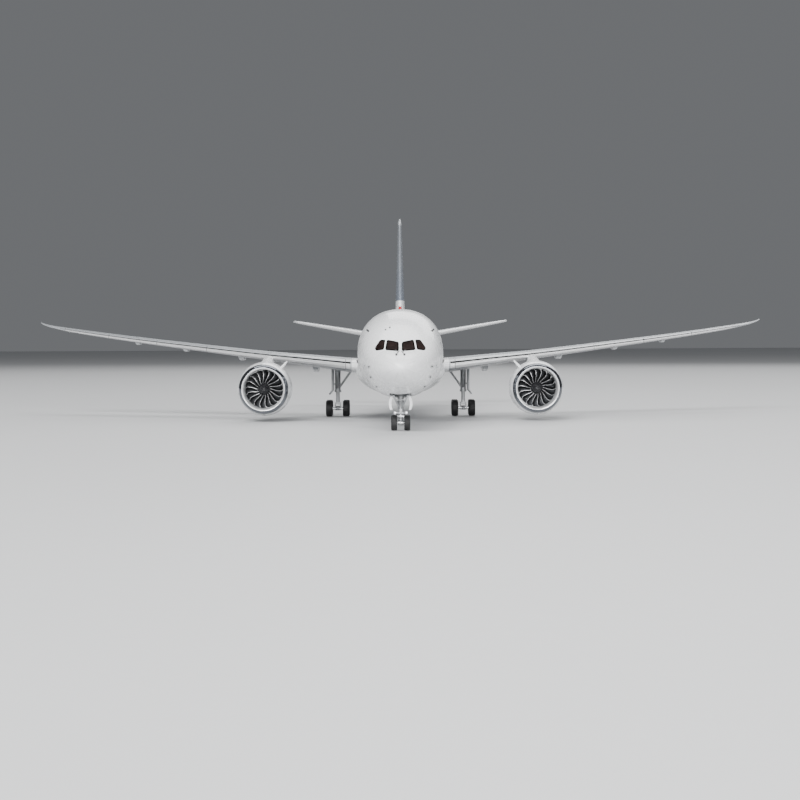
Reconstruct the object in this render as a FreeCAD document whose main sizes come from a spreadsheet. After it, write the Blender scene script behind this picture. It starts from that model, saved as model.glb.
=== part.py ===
"""Desktop airliner model, a twin-engined wide-body jet standing on its wheels.

Row frame, in millimetres: +Z up, nose towards -Y, port wing towards +X. The origin is on the
ground, midway along the model. A station is a distance aft of the nose tip, along +Y.

The die-cast fuselage shell, belly fairing, wings and tail plug together round a wing box. The
engines hang on pylons, and each fan turns on a pin in the engine core. The nose leg steers, the
two main bogies tilt, and every wheel pair rolls on its axle.
"""

import FreeCAD, Part

import math
import os

import Sketcher
from FreeCAD import Placement, Rotation, Vector

OUT = "parts"
DOC = FreeCAD.newDocument("airliner")
SHEET = DOC.addObject("Spreadsheet::Sheet", "Dims")
X_AXIS, Y_AXIS, Z_AXIS = Vector(1, 0, 0), Vector(0, 1, 0), Vector(0, 0, 1)
EPS = 0.02  # how far a tool reaches past the face that it cuts

# ---------------------------------------------------------------- driving dimensions (mm)
DIMENSIONS = {
    # whole model
    "length": 314.0,
    "span": 300.6,
    "fin_top": 85.1,
    "fuselage_width": 28.85,
    "fuselage_height": 29.85,
    "fuselage_axis_z": 25.1,
    "shell_wall": 1.1,
    # wing joint
    "wing_root_x": 18.0,
    "tongue_station": 136.0,
    "tongue_length": 22.0,
    "tongue_thickness": 2.2,
    "tongue_z": 19.95,
    "tongue_inner_x": 5.0,
    "wing_box_half_width": 9.6,
    "wing_box_length": 38.0,
    "wing_box_bottom_z": 18.0,
    "wing_box_top_z": 22.6,
    # belly screws and display-stand socket
    "front_screw_station": 112.0,
    "rear_screw_station": 160.0,
    "screw_head_radius": 1.3,
    "screw_head_height": 0.5,
    "screw_shank_radius": 0.7,
    "screw_head_z": 9.5,
    "screw_tip_z": 18.4,
    "screw_post_radius": 2.0,
    "socket_station": 136.0,
    "socket_outer_radius": 2.6,
    "socket_bore_radius": 1.6,
    "socket_mouth_z": 9.35,
    "socket_depth": 7.0,
    "socket_top_z": 17.5,
    # engine, with distances aft of the intake lip
    "engine_x": 49.75,
    "engine_z": 12.0,
    "intake_station": 98.0,
    "fan_front": 5.4,
    "fan_length": 2.6,
    "fan_radius": 6.93,
    "fan_hub_radius": 2.15,
    "spinner_length": 2.9,
    "fan_nozzle_at": 26.6,
    "chevron_depth": 1.5,
    "core_front": 9.0,
    "fan_pin_radius": 0.5,
    "pin_clearance": 0.05,
    # nose landing gear
    "nose_gear_station": 27.5,
    "nose_tyre_radius": 2.54,
    "nose_tyre_width": 2.0,
    "nose_wheel_x": 2.15,
    "nose_rim_radius": 1.35,
    "nose_axle_radius": 0.4,
    "nose_piston_radius": 0.6,
    "nose_barrel_radius": 1.0,
    "nose_barrel_bottom_z": 5.3,
    "nose_barrel_top_z": 13.4,
    "nose_bay_half_width": 2.95,
    "nose_bay_length": 12.0,
    "nose_bay_top_z": 14.6,
    "nose_bay_wall": 0.5,
    # main landing gear
    "main_gear_x": 24.5,
    "main_gear_station": 156.5,
    "main_tyre_radius": 3.175,
    "main_tyre_width": 2.5,
    "main_wheel_x": 3.3,
    "main_axle_offset": 3.75,
    "main_rim_radius": 1.75,
    "main_axle_radius": 0.45,
    "beam_half_width": 0.7,
    "beam_half_height": 0.75,
    "fork_inner_x": 0.8,
    "fork_outer_x": 1.25,
    "bogie_pin_radius": 0.4,
    "main_piston_radius": 0.75,
    "main_barrel_radius": 1.1,
    "main_barrel_bottom_z": 9.4,
}


def fill_sheet():
    """One row per driving dimension: its name in column A and its value in column B."""
    for row, (alias, number) in enumerate(DIMENSIONS.items(), start=1):
        SHEET.set(f"A{row}", alias)
        SHEET.set(f"B{row}", str(number))
        SHEET.setAlias(f"B{row}", alias)
    DOC.recompute()


def dim(alias):
    """A driving dimension, read from the sheet."""
    return float(SHEET.get(alias))


def at_station(station):
    """Row-frame Y of a distance aft of the nose tip."""
    return station - dim("length") / 2


def y_of(station_alias, more="0"):
    """The same as an expression on the sheet."""
    return f"Dims.{station_alias} - Dims.length / 2 + {more}"


# ---------------------------------------------------------------- document helpers
SUB_PARTS = []


def keep(thing, label):
    """Marks a document object as a finished sub-part, under the name of its file."""
    for other in DOC.getObjectsByLabel(label):
        other.Label = label + "_step"
    thing.Label = label
    SUB_PARTS.append(thing)
    return thing


def shaped(label, shape):
    """A Part::Feature that holds a shape worked out in this file."""
    feature = DOC.addObject("Part::Feature", label)
    feature.Shape = shape
    return feature


def put(thing, x="0", y="0", z="0", turn=None):
    """Places an object by expressions, with an optional (axis, angle) turn."""
    if turn:
        thing.Placement = Placement(Vector(), Rotation(*turn))
    for letter, formula in zip("xyz", (x, y, z)):
        thing.setExpression(f"Placement.Base.{letter}", formula)
    return thing


def cylinder(label, radius, height, x="0", y="0", z="0", turn=None):
    """A Part::Cylinder with every size bound to the sheet. It points up until it is turned."""
    tube = DOC.addObject("Part::Cylinder", label)
    tube.setExpression("Radius", radius)
    tube.setExpression("Height", height)
    return put(tube, x, y, z, turn)


ALONG_X = (Y_AXIS, 90)
ALONG_Y = (X_AXIS, -90)


def box(label, low, size):
    """A Part::Box from its low corner and its size, both triples of expressions."""
    block = DOC.addObject("Part::Box", label)
    for side, formula in zip(("Length", "Width", "Height"), size):
        block.setExpression(side, formula)
    return put(block, *low)


def fuse(label, *things):
    """One casting made of several overlapping pieces."""
    joined = DOC.addObject("Part::MultiFuse", label)
    joined.Shapes = list(things)
    joined.Refine = False
    return joined


def overlap(label, one, other):
    """What two pieces have in common."""
    shared = DOC.addObject("Part::Common", label)
    shared.Base, shared.Tool = one, other
    shared.Refine = False
    return shared


def cut(label, base, *tools):
    """base less each tool in turn."""
    for tool in tools:
        trimmed = DOC.addObject("Part::Cut", label)
        trimmed.Base, trimmed.Tool = base, tool
        trimmed.Refine = False
        base = trimmed
    return base


def group(label, *things):
    """Several separate solids that share one node."""
    together = DOC.addObject("Part::Compound", label)
    together.Links = list(things)
    return together


def mirrored(label, source):
    """The starboard twin of a port piece."""
    twin = DOC.addObject("Part::Mirroring", label)
    twin.Source = source
    twin.Base, twin.Normal = Vector(), X_AXIS
    return twin


def both_sides(name, port_piece):
    """Keeps a port piece and its starboard twin, and returns both."""
    port = keep(port_piece, f"port_{name}")
    return port, keep(mirrored(f"starboard_{name}", port), f"starboard_{name}")


def rod(label, start, end, radius):
    """A round bar between two points."""
    run = end - start
    bar = DOC.addObject("Part::Cylinder", label)
    bar.setExpression("Radius", radius)
    bar.Height = run.Length
    bar.Placement = Placement(start, Rotation(Z_AXIS, run))
    return bar


def origin_feature(body, role):
    return next(o for o in body.Origin.OriginFeatures if o.Role == role)


def outline(body, plane, corners):
    """A closed sketch of straight edges. Each corner is a pair of expressions from the body's origin."""
    sketch = body.newObject("Sketcher::SketchObject", body.Name + "_outline")
    sketch.AttachmentSupport = [(origin_feature(body, plane), "")]
    sketch.MapMode = "FlatFace"
    count = len(corners)
    ring = [
        Vector(math.cos(2 * math.pi * i / count), math.sin(2 * math.pi * i / count), 0)
        for i in range(count)
    ]
    for i in range(count):
        sketch.addGeometry(Part.LineSegment(ring[i], ring[(i + 1) % count]))
    for i in range(count):
        sketch.addConstraint(Sketcher.Constraint("Coincident", i, 2, (i + 1) % count, 1))
    for i, corner in enumerate(corners):
        for kind, formula, first in zip(("DistanceX", "DistanceY"), corner, ring[i]):
            number = sketch.addConstraint(Sketcher.Constraint(kind, i, 1, first))
            sketch.setExpression(f"Constraints[{number}]", formula)
    return sketch


def plate(label, plane, corners, thickness, x="0", y="0", z="0", rounded=None):
    """A PartDesign body padded evenly both ways from a straight-edged outline."""
    body = DOC.addObject("PartDesign::Body", label)
    pad = body.newObject("PartDesign::Pad", label + "_pad")
    sketch = outline(body, plane, corners)
    pad.Profile = sketch
    pad.SideType = "Symmetric"
    pad.setExpression("Length", thickness)
    body.Tip = pad
    if rounded:
        round_all(body, pad, rounded)
    return put(body, x, y, z)


def turned(label, corners, x="0", y="0", z="0", turn=None, rounded=None):
    """A PartDesign body revolved about its own X axis from an outline of (along, radius) corners."""
    body = DOC.addObject("PartDesign::Body", label)
    sketch = outline(body, "XY_Plane", corners)
    revolution = body.newObject("PartDesign::Revolution", label + "_turning")
    revolution.Profile = sketch
    revolution.ReferenceAxis = (sketch, ["H_Axis"])
    revolution.Angle = 360
    body.Tip = revolution
    if rounded:
        round_all(body, revolution, rounded)
    return put(body, x, y, z, turn)


def round_all(body, feature, radius):
    """Rounds every edge of a body's last feature."""
    fillet = body.newObject("PartDesign::Fillet", body.Name + "_rounding")
    fillet.Base = (feature, ["Edge1"])
    fillet.UseAllEdges = True
    fillet.setExpression("Radius", radius)
    body.Tip = fillet


# ---------------------------------------------------------------- smooth forms
def spline(points):
    """A smooth open curve. Even parameters keep the lofts between such curves light."""
    curve = Part.BSplineCurve()
    last = len(points) - 1
    curve.interpolate(Points=points, Parameters=[k / last for k in range(last + 1)])
    return curve.toShape()


def closed_spline(points):
    """The same for a closed ring."""
    curve = Part.BSplineCurve()
    count = len(points)
    evenly = [k / count for k in range(count + 1)]
    curve.interpolate(Points=points, PeriodicFlag=True, Parameters=evenly)
    return curve.toShape()


def smooth(table, column, where):
    """Monotone cubic interpolation of one column of a table. The first column is the position."""
    xs = [math.sqrt(row[0]) for row in table]
    ys = [row[column] for row in table]
    at = math.sqrt(where)
    slopes = [(ys[i + 1] - ys[i]) / (xs[i + 1] - xs[i]) for i in range(len(xs) - 1)]
    tangents = [slopes[0]]
    for before, after in zip(slopes, slopes[1:]):
        flat = before * after <= 0
        tangents.append(0.0 if flat else 2 * before * after / (before + after))
    tangents.append(slopes[-1])
    i = max(k for k in range(len(xs) - 1) if xs[k] <= at)
    step = xs[i + 1] - xs[i]
    u = (at - xs[i]) / step
    return (
        ys[i] * (1 + 2 * u) * (1 - u) ** 2
        + tangents[i] * step * u * (1 - u) ** 2
        + ys[i + 1] * u * u * (3 - 2 * u)
        - tangents[i + 1] * step * u * u * (1 - u)
    )


# station, then crown, keel and widest height as shares of half the height above the axis, and the
# half width as a share of half the width
FUSELAGE_LINES = [
    (0, -0.268, -0.268, -0.268, 0.0),
    (0.5, -0.178, -0.358, -0.265, 0.132),
    (1.5, -0.111, -0.429, -0.255, 0.236),
    (3, -0.047, -0.499, -0.241, 0.336),
    (5, 0.017, -0.570, -0.228, 0.437),
    (10, 0.165, -0.704, -0.184, 0.620),
    (15, 0.355, -0.797, -0.141, 0.749),
    (20, 0.543, -0.868, -0.100, 0.839),
    (25, 0.700, -0.918, -0.067, 0.901),
    (30, 0.817, -0.955, -0.040, 0.943),
    (40, 0.955, -0.993, -0.007, 0.990),
    (52, 1.0, -1.0, 0.0, 1.0),
    (212, 1.0, -1.0, 0.0, 1.0),
    (224, 1.0, -0.965, 0.010, 0.980),
    (240, 0.992, -0.797, 0.067, 0.891),
    (256, 0.955, -0.545, 0.180, 0.744),
    (270, 0.891, -0.312, 0.260, 0.589),
    (282, 0.816, -0.095, 0.340, 0.450),
    (292, 0.745, 0.075, 0.395, 0.325),
    (302, 0.663, 0.235, 0.440, 0.205),
    (314, 0.556, 0.375, 0.465, 0.094),
]
SHOULDER_PINCH = 0.11  # how much the upper corners draw in at the flight deck
PINCH_STATION, PINCH_SPREAD = 17.0, 11.0
RING_POINTS = 28


def fuselage_ring(station, inset=0.0):
    """The closed cross-section at a station, drawn in by inset."""
    half_height = dim("fuselage_height") / 2
    half_width = dim("fuselage_width") / 2 * smooth(FUSELAGE_LINES, 4, station) - inset
    crown, keel, widest = (
        half_height * smooth(FUSELAGE_LINES, column, station) for column in (1, 2, 3)
    )
    pinch = SHOULDER_PINCH * math.exp(-(((station - PINCH_STATION) / PINCH_SPREAD) ** 2))
    points = []
    for k in range(RING_POINTS):
        angle = 2 * math.pi * k / RING_POINTS - math.pi / 2
        side, up = math.cos(angle), math.sin(angle)
        reach = (crown - widest if up > 0 else widest - keel) - inset
        drawn_in = 1 - pinch * max(up, 0) ** 2
        height = dim("fuselage_axis_z") + widest + reach * up
        points.append(Vector(half_width * side * drawn_in, at_station(station), height))
    return Part.Wire(closed_spline(points))


def fuselage_form(stations, inset=0.0, tip=None):
    """A solid lofted through the rings at these stations, from a point if tip is given."""
    sections = [fuselage_ring(station, inset) for station in stations]
    if tip is not None:
        sections.insert(0, Part.Vertex(tip))
    return Part.makeLoft(sections, True, False)


NOSE_STATIONS = [0.12, 0.5, 1.1, 2, 3, 4.4, 6, 8, 10.5, 13.5, 17, 21, 25.5, 30.5, 36, 42, 49]
BARREL_STATIONS = [58, 68, 80, 94, 110, 126, 142, 158, 174, 188, 200, 210]
TAIL_STATIONS = [218, 226, 234, 242, 250, 258, 266, 274, 282, 290, 298, 306, 314]
HOLLOW_STATIONS = [4.4, 7, 10.5, 15, 21, 30.5, 40] + BARREL_STATIONS + TAIL_STATIONS[:10]

AIRFOIL_POINTS = 9
TRAILING_EDGE = 0.28


def airfoil(leading_edge, chord, thickness, across, camber=0.0, incidence=0.0):
    """A wing section. Its chord runs aft from the leading edge, and across is the way it is thick.

    The thickness follows the four-digit formula, with a blunt trailing edge that can be cast."""
    lean = math.radians(incidence)
    aft = Y_AXIS * math.cos(lean) - across * math.sin(lean)
    up = across * math.cos(lean) + Y_AXIS * math.sin(lean)
    points = []
    for k in range(-AIRFOIL_POINTS, AIRFOIL_POINTS + 1):
        c = (k / AIRFOIL_POINTS) ** 2
        half = 5 * thickness * (
            0.2969 * math.sqrt(c) - 0.1260 * c - 0.3516 * c**2 + 0.2843 * c**3 - 0.1036 * c**4
        ) + c * min(TRAILING_EDGE, thickness) / 2
        mean = 4 * camber * chord * c * (1 - c)
        side = 1 if k < 0 else -1
        points.append(leading_edge + aft * (chord * c) + up * (mean + side * half))
    return Part.Wire([spline(points), Part.LineSegment(points[-1], points[0]).toShape()])


# distance from the centreline, leading-edge station, chord, thickness ratio, incidence, height
WING_SECTIONS = [
    (8.0, 99.0, 68.5, 0.090, 1.9, 19.35),
    (18.0, 107.5, 58.0, 0.094, 1.6, 20.20),
    (32.5, 117.5, 46.6, 0.095, 1.1, 21.75),
    (49.5, 129.5, 35.8, 0.096, 0.5, 23.50),
    (80.0, 151.0, 26.2, 0.100, -0.2, 27.00),
    (110.0, 172.0, 18.7, 0.105, -0.9, 30.65),
    (133.0, 188.0, 13.2, 0.108, -1.4, 33.85),
    (140.0, 195.0, 9.8, 0.108, -1.6, 35.00),
    (146.0, 202.6, 5.9, 0.108, -1.8, 36.20),
    (149.3, 208.2, 3.0, 0.110, -2.0, 37.15),
    (150.3, 210.6, 1.3, 0.150, -2.0, 37.60),
]
# distance from the centreline, leading-edge station, chord, thickness ratio, height
TAILPLANE_SECTIONS = [
    (2.5, 262.5, 32.6, 0.092, 30.35),
    (6.5, 266.0, 30.0, 0.092, 31.05),
    (27.5, 282.0, 21.0, 0.092, 34.70),
    (45.0, 295.3, 13.6, 0.092, 37.74),
    (47.3, 297.1, 12.4, 0.090, 38.14),
    (48.6, 298.8, 10.9, 0.088, 38.38),
    (49.3, 300.4, 9.1, 0.080, 38.50),
    (49.6, 302.4, 6.6, 0.070, 38.55),
]
# height, leading-edge station, trailing-edge station, thickness
FIN_SECTIONS = [
    (35.0, 228.0, 288.0, 3.6),
    (39.0, 232.5, 288.6, 3.9),
    (41.5, 240.5, 289.3, 4.0),
    (44.0, 247.6, 290.0, 3.9),
    (48.5, 253.0, 291.4, 3.7),
    (60.0, 263.6, 294.8, 3.0),
    (75.0, 277.4, 299.2, 2.15),
    (82.5, 284.4, 301.4, 1.7),
    (84.4, 287.4, 301.8, 1.15),
    (85.1, 290.6, 301.4, 0.45),
]
WING_CAMBER = 0.012


def filled_in(rows, gap):
    """Rows with straight in-between rows added, so that no step of the first column tops gap."""
    full = [rows[0]]
    for before, after in zip(rows, rows[1:]):
        steps = math.ceil((after[0] - before[0]) / gap)
        for k in range(1, steps + 1):
            full.append(tuple(b + (a - b) * k / steps for b, a in zip(before, after)))
    return full


def wing_form():
    """The whole port wing, from inside the fuselage to the raked tip."""
    reach = dim("span") / 2 / WING_SECTIONS[-1][0]
    sections = []
    for x, station, chord, ratio, incidence, z in WING_SECTIONS:
        edge = Vector(x * reach, at_station(station), z)
        sections.append(airfoil(edge, chord, chord * ratio, Z_AXIS, WING_CAMBER, incidence))
    return Part.makeLoft(sections, True, False)


def tailplane_form():
    sections = []
    for x, station, chord, ratio, z in filled_in(TAILPLANE_SECTIONS, 5.0):
        sections.append(airfoil(Vector(x, at_station(station), z), chord, chord * ratio, Z_AXIS))
    return Part.makeLoft(sections, True, False)


def fin_form():
    rise = dim("fin_top") / FIN_SECTIONS[-1][0]
    sections = []
    for z, front, back, thickness in FIN_SECTIONS:
        edge = Vector(0, at_station(front), z * rise)
        sections.append(airfoil(edge, back - front, thickness, X_AXIS))
    return Part.makeLoft(sections, True, False)


# station, half width, height of the widest line, belly height, top height
FAIRING_SECTIONS = [
    (84.0, 13.6, 18.6, 12.0, 24.0),
    (90.0, 15.0, 18.7, 10.8, 25.0),
    (97.0, 15.9, 18.8, 9.9, 26.0),
    (106.0, 16.3, 18.8, 9.4, 26.5),
    (136.0, 16.5, 18.4, 9.3, 26.0),
    (160.0, 16.3, 18.2, 9.4, 25.0),
    (172.0, 15.6, 18.2, 9.9, 24.4),
    (181.0, 14.6, 18.4, 10.9, 23.8),
    (189.0, 13.2, 18.6, 12.4, 23.2),
]
FAIRING_SQUARENESS = 1.95


def fairing_form():
    """The bulged outside of the wing-to-body fairing, as if it were solid."""
    sections = []
    for station, half_width, widest, belly, top in FAIRING_SECTIONS:
        points = []
        for k in range(RING_POINTS):
            angle = 2 * math.pi * k / RING_POINTS - math.pi / 2
            side, up = math.cos(angle), math.sin(angle)
            swell = (abs(side) ** FAIRING_SQUARENESS + abs(up) ** FAIRING_SQUARENESS)
            swell **= -1 / FAIRING_SQUARENESS
            reach = top - widest if up > 0 else widest - belly
            points.append(
                Vector(half_width * side * swell, at_station(station), widest + reach * up * swell)
            )
        sections.append(Part.Wire(closed_spline(points)))
    return Part.makeLoft(sections, True, False)


def engine_centre(side):
    """The middle of the intake's front, for side +1 port and -1 starboard."""
    return Vector(side * dim("engine_x"), at_station(dim("intake_station")), dim("engine_z"))


def spun(edges, centre):
    """A solid revolved about the engine's axis from edges drawn as (distance aft, radius)."""
    face = Part.Face(Part.Wire(edges))
    solid = face.revolve(Vector(), Y_AXIS, 360)
    solid.translate(centre)
    return solid


def profile(*points):
    """(distance aft, radius) pairs as points of the half-plane that is revolved."""
    return [Vector(radius, aft, 0) for aft, radius in points]


def straight(start, end):
    return Part.LineSegment(start, end).toShape()


# ---------------------------------------------------------------- fuselage group
def make_fuselage(forms):
    """The shell with its slots, the gear bay liner and the ballast that keeps the nose down."""
    hollow = shaped("fuselage_hollow", fuselage_form(HOLLOW_STATIONS, dim("shell_wall")))
    bay_opening = box(
        "nose_bay_opening",
        ("-Dims.nose_bay_half_width", y_of("nose_gear_station", "-7"), "0"),
        ("2 * Dims.nose_bay_half_width", "Dims.nose_bay_length", "Dims.nose_bay_top_z"),
    )
    tongue_slot = tongue_block("tongue_slot", "-Dims.wing_root_x", "2 * Dims.wing_root_x")
    holes = [
        cylinder(
            f"{station}_hole", radius, "Dims.screw_tip_z", y=y_of(station), z="0"
        )
        for station, radius in (
            ("front_screw_station", "Dims.screw_shank_radius"),
            ("rear_screw_station", "Dims.screw_shank_radius"),
            ("socket_station", "Dims.socket_outer_radius"),
        )
    ]
    forms["belly_holes"] = holes
    forms["tongue_slot"] = tongue_slot
    shell = cut(
        "fuselage_shell", forms["fuselage"], hollow, bay_opening, tongue_slot, *holes,
        forms["tailplane"], forms["starboard_tailplane"], forms["fin"],
    )
    keep(shell, "fuselage_shell")

    liner = box(
        "bay_liner",
        ("-Dims.nose_bay_half_width", y_of("nose_gear_station", "-7"), "Dims.nose_bay_top_z - 3.6"),
        ("2 * Dims.nose_bay_half_width", "Dims.nose_bay_length", "3.6"),
    )
    inside = box(
        "bay_inside",
        (
            "-Dims.nose_bay_half_width + Dims.nose_bay_wall",
            y_of("nose_gear_station", "-7 + Dims.nose_bay_wall"),
            "0",
        ),
        (
            "2 * (Dims.nose_bay_half_width - Dims.nose_bay_wall)",
            "Dims.nose_bay_length - 2 * Dims.nose_bay_wall",
            "Dims.nose_bay_top_z - Dims.nose_bay_wall",
        ),
    )
    skin = cut("bay_liner_outside", DOC.addObject("Part::Box", "belly_below"), forms["fuselage"])
    below = skin.Base
    for side, size in zip(("Length", "Width", "Height"), ("20", "30", "20")):
        below.setExpression(side, size)
    put(below, "-10", y_of("nose_gear_station", "-15"), "0")
    keep(cut("nose_gear_bay", liner, inside, skin), "nose_gear_bay")

    ballast = cylinder(
        "nose_ballast", "5.2", "16", y=y_of("nose_gear_station", "9"), z="26.5", turn=ALONG_Y
    )
    keep(ballast, "nose_ballast")


def tongue_block(label, low_x, reach):
    """The flat bar that ties the wings through the fuselage, over any stretch of X."""
    return box(
        label,
        (
            low_x,
            y_of("tongue_station", "-Dims.tongue_length / 2"),
            "Dims.tongue_z - Dims.tongue_thickness / 2",
        ),
        (reach, "Dims.tongue_length", "Dims.tongue_thickness"),
    )


def make_belly(forms):
    """The fairing with the wing-root stubs, the wing box, the screws and the stand's socket."""
    inboard = box(
        "inboard_of_joint",
        ("-Dims.wing_root_x", "-Dims.length / 2", "0"),
        ("2 * Dims.wing_root_x", "Dims.length", "Dims.fin_top"),
    )
    stubs = [
        overlap(f"{side}_stub", form, inboard)
        for side, form in (("port", forms["wing"]), ("starboard", forms["starboard_wing"]))
    ]
    solid = fuse("fairing_solid", shaped("fairing_form", fairing_form()), *stubs)
    heads = [
        cylinder(
            f"{end}_head_recess", "Dims.screw_head_radius",
            "Dims.screw_head_z + Dims.screw_head_height", y=y_of(f"{end}_screw_station"),
        )
        for end in ("front", "rear")
    ]
    fairing = cut(
        "belly_fairing", solid, forms["fuselage"], forms["tongue_slot"],
        *forms["belly_holes"], *heads,
    )
    keep(fairing, "belly_fairing")

    shanks = [
        fuse(
            f"{end}_screw",
            cylinder(
                f"{end}_head", "Dims.screw_head_radius", "Dims.screw_head_height",
                y=y_of(f"{end}_screw_station"), z="Dims.screw_head_z",
            ),
            cylinder(
                f"{end}_shank", "Dims.screw_shank_radius", "Dims.screw_tip_z - Dims.screw_head_z",
                y=y_of(f"{end}_screw_station"), z="Dims.screw_head_z",
            ),
        )
        for end in ("front", "rear")
    ]
    slots = [
        box(
            f"{end}_driver_slot",
            ("-Dims.screw_head_radius", y_of(f"{end}_screw_station", "-0.15"), "Dims.screw_head_z"),
            ("2 * Dims.screw_head_radius", "0.3", "0.3"),
        )
        for end in ("front", "rear")
    ]
    keep(group("belly_screws", *(cut("screw", s, slot) for s, slot in zip(shanks, slots))),
         "belly_screws")

    socket = cylinder(
        "socket_body", "Dims.socket_outer_radius", "Dims.socket_top_z - Dims.socket_mouth_z",
        y=y_of("socket_station"), z="Dims.socket_mouth_z",
    )
    bore = cylinder(
        "socket_bore", "Dims.socket_bore_radius", "Dims.socket_depth",
        y=y_of("socket_station"), z="Dims.socket_mouth_z",
    )
    keep(cut("stand_socket", socket, bore), "stand_socket")

    block = box(
        "wing_box_block",
        (
            "-Dims.wing_box_half_width",
            y_of("tongue_station", "-Dims.wing_box_length / 2"),
            "Dims.wing_box_bottom_z",
        ),
        (
            "2 * Dims.wing_box_half_width", "Dims.wing_box_length",
            "Dims.wing_box_top_z - Dims.wing_box_bottom_z",
        ),
    )
    floor_z = "Dims.fuselage_axis_z - Dims.fuselage_height / 2 + Dims.shell_wall"
    lugs, posts = [], []
    for end, way in (("front", -1), ("rear", 1)):
        y = y_of(f"{end}_screw_station")
        posts.append(
            cylinder(
                f"{end}_post", "Dims.screw_post_radius",
                f"Dims.wing_box_top_z - 1 - ({floor_z} + 0.2)", y=y, z=f"{floor_z} + 0.2",
            )
        )
        lugs.append(
            box(
                f"{end}_lug",
                ("-Dims.screw_post_radius", f"{y} - {5.0 if way > 0 else 0}", "Dims.wing_box_bottom_z"),
                ("2 * Dims.screw_post_radius", "6", "Dims.wing_box_top_z - 1 - Dims.wing_box_bottom_z"),
            )
        )
    screw_holes = forms["belly_holes"][:2]
    sockets = [
        tongue_block("port_socket", "Dims.tongue_inner_x", "Dims.wing_root_x"),
        tongue_block("starboard_socket", "-Dims.tongue_inner_x - Dims.wing_root_x",
                     "Dims.wing_root_x"),
    ]
    wing_box = cut(
        "wing_box", fuse("wing_box_solid", block, *lugs, *posts), *screw_holes, *sockets
    )
    keep(wing_box, "wing_box")


def make_wings(forms):
    """Each wing with the tongue that enters the wing box, and its flap-track fairings."""
    outboard = box(
        "outboard_of_joint",
        ("Dims.wing_root_x", "-Dims.length / 2", "0"),
        ("Dims.span", "Dims.length", "Dims.fin_top"),
    )
    panel = overlap("wing_panel", forms["wing"], outboard)
    tongue = tongue_block(
        "wing_tongue", "Dims.tongue_inner_x", "Dims.wing_root_x + 2 - Dims.tongue_inner_x"
    )
    both_sides("wing", fuse("port_wing", panel, tongue))

    # distance from the centreline, station of the middle, height, half length, half depth
    canoes = [
        (33.0, 160.0, 19.15, 13.0, 1.75),
        (62.5, 167.5, 23.55, 12.0, 1.55),
        (85.5, 175.2, 26.75, 10.0, 1.25),
        (106.0, 185.5, 29.25, 8.0, 1.0),
    ]
    solids = []
    for x, station, z, half_length, half_depth in canoes:
        canoe = plate(
            "canoe", "YZ_Plane",
            [
                (f"-{half_length}", f"0.5 * {half_depth}"),
                (f"-0.75 * {half_length}", f"-0.45 * {half_depth}"),
                (f"-0.3 * {half_length}", f"-{half_depth}"),
                (f"0.3 * {half_length}", f"-0.95 * {half_depth}"),
                (f"0.75 * {half_length}", f"-0.4 * {half_depth}"),
                (f"{half_length}", f"0.25 * {half_depth}"),
                (f"0.7 * {half_length}", f"0.7 * {half_depth}"),
                (f"-0.6 * {half_length}", f"{half_depth}"),
            ],
            f"1.25 * {half_depth}", str(x), f"{station} - Dims.length / 2", str(z),
            rounded=f"0.22 * {half_depth}",
        )
        solids.append(cut("flap_fairing", canoe, forms["wing"]))
    both_sides("flap_fairings", group("port_flap_fairings", *solids))


def make_tail(forms):
    both_sides("tailplane", group("port_tailplane", forms["tailplane"]))
    keep(group("fin", forms["fin"]), "fin")


def make_antennas(forms):
    """Blade aerials on the crown and belly, the satellite dome and the beacon lenses."""
    crown = dim("fuselage_axis_z") + dim("fuselage_height") / 2
    blades = []
    for name, station, way in (
        ("front_blade", 62, 1), ("rear_blade", 196, 1), ("belly_blade", 72, -1),
        ("aft_belly_blade", 204, -1),
    ):
        blade = plate(
            name + "_form", "YZ_Plane",
            [("0", f"{way} * -0.4"), ("3.2", f"{way} * -0.4"), ("3.2", f"{way} * 1.5"),
             ("1.7", f"{way} * 1.6")],
            "0.45", y=f"{station} - Dims.length / 2",
            z=f"Dims.fuselage_axis_z + {way} * Dims.fuselage_height / 2",
        )
        blades.append(cut(name, blade, forms["fuselage"]))
    dome = DOC.addObject("Part::Ellipsoid", "dome_form")
    dome.Radius1, dome.Radius2, dome.Radius3 = 1.5, 3.4, 9.0
    dome.Placement = Placement(Vector(0, at_station(172.0), crown - 0.1), Rotation())
    keep(group("aerials", *blades, cut("satellite_dome", dome, forms["fuselage"])), "aerials")

    lenses = []
    for name, centre, radius in (
        ("crown_beacon", Vector(0, at_station(110.0), crown), 0.55),
        ("fin_root_beacon", Vector(0, at_station(247.2), 44.3), 0.65),
    ):
        ball = DOC.addObject("Part::Sphere", name + "_ball")
        ball.Radius = radius
        ball.Placement = Placement(centre, Rotation())
        lenses.append(cut(name, ball, forms["fuselage"], forms["fin"]))
    keep(group("beacon_lenses", *lenses), "beacon_lenses")


# ---------------------------------------------------------------- engines
LIP_OUTSIDE = ((2.0, 9.02), (1.1, 8.72), (0.4, 8.3), (0.0, 7.82), (0.28, 7.42), (1.0, 7.18), (2.0, 7.1))
COWL_OUTSIDE = ((2.0, 9.02), (4.5, 9.55), (8.0, 9.82), (12.0, 9.88), (17.0, 9.55), (22.0, 8.85), (26.6, 7.98))
COWL_INSIDE = ((26.6, 7.72), (20.0, 7.6), (14.0, 7.3), (10.0, 7.1), (6.0, 7.05), (2.0, 7.1))
CORE_OUTSIDE = ((9.0, 2.6), (13.0, 3.9), (18.0, 5.1), (23.0, 5.25), (28.0, 4.5), (33.6, 3.3))
CORE_INSIDE = ((33.6, 3.05), (31.5, 3.1), (29.5, 3.15))
PLUG_OUTSIDE = ((29.5, 2.45), (33.0, 2.0), (36.5, 1.05), (38.6, 0.4), (39.0, 0.0))
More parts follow.
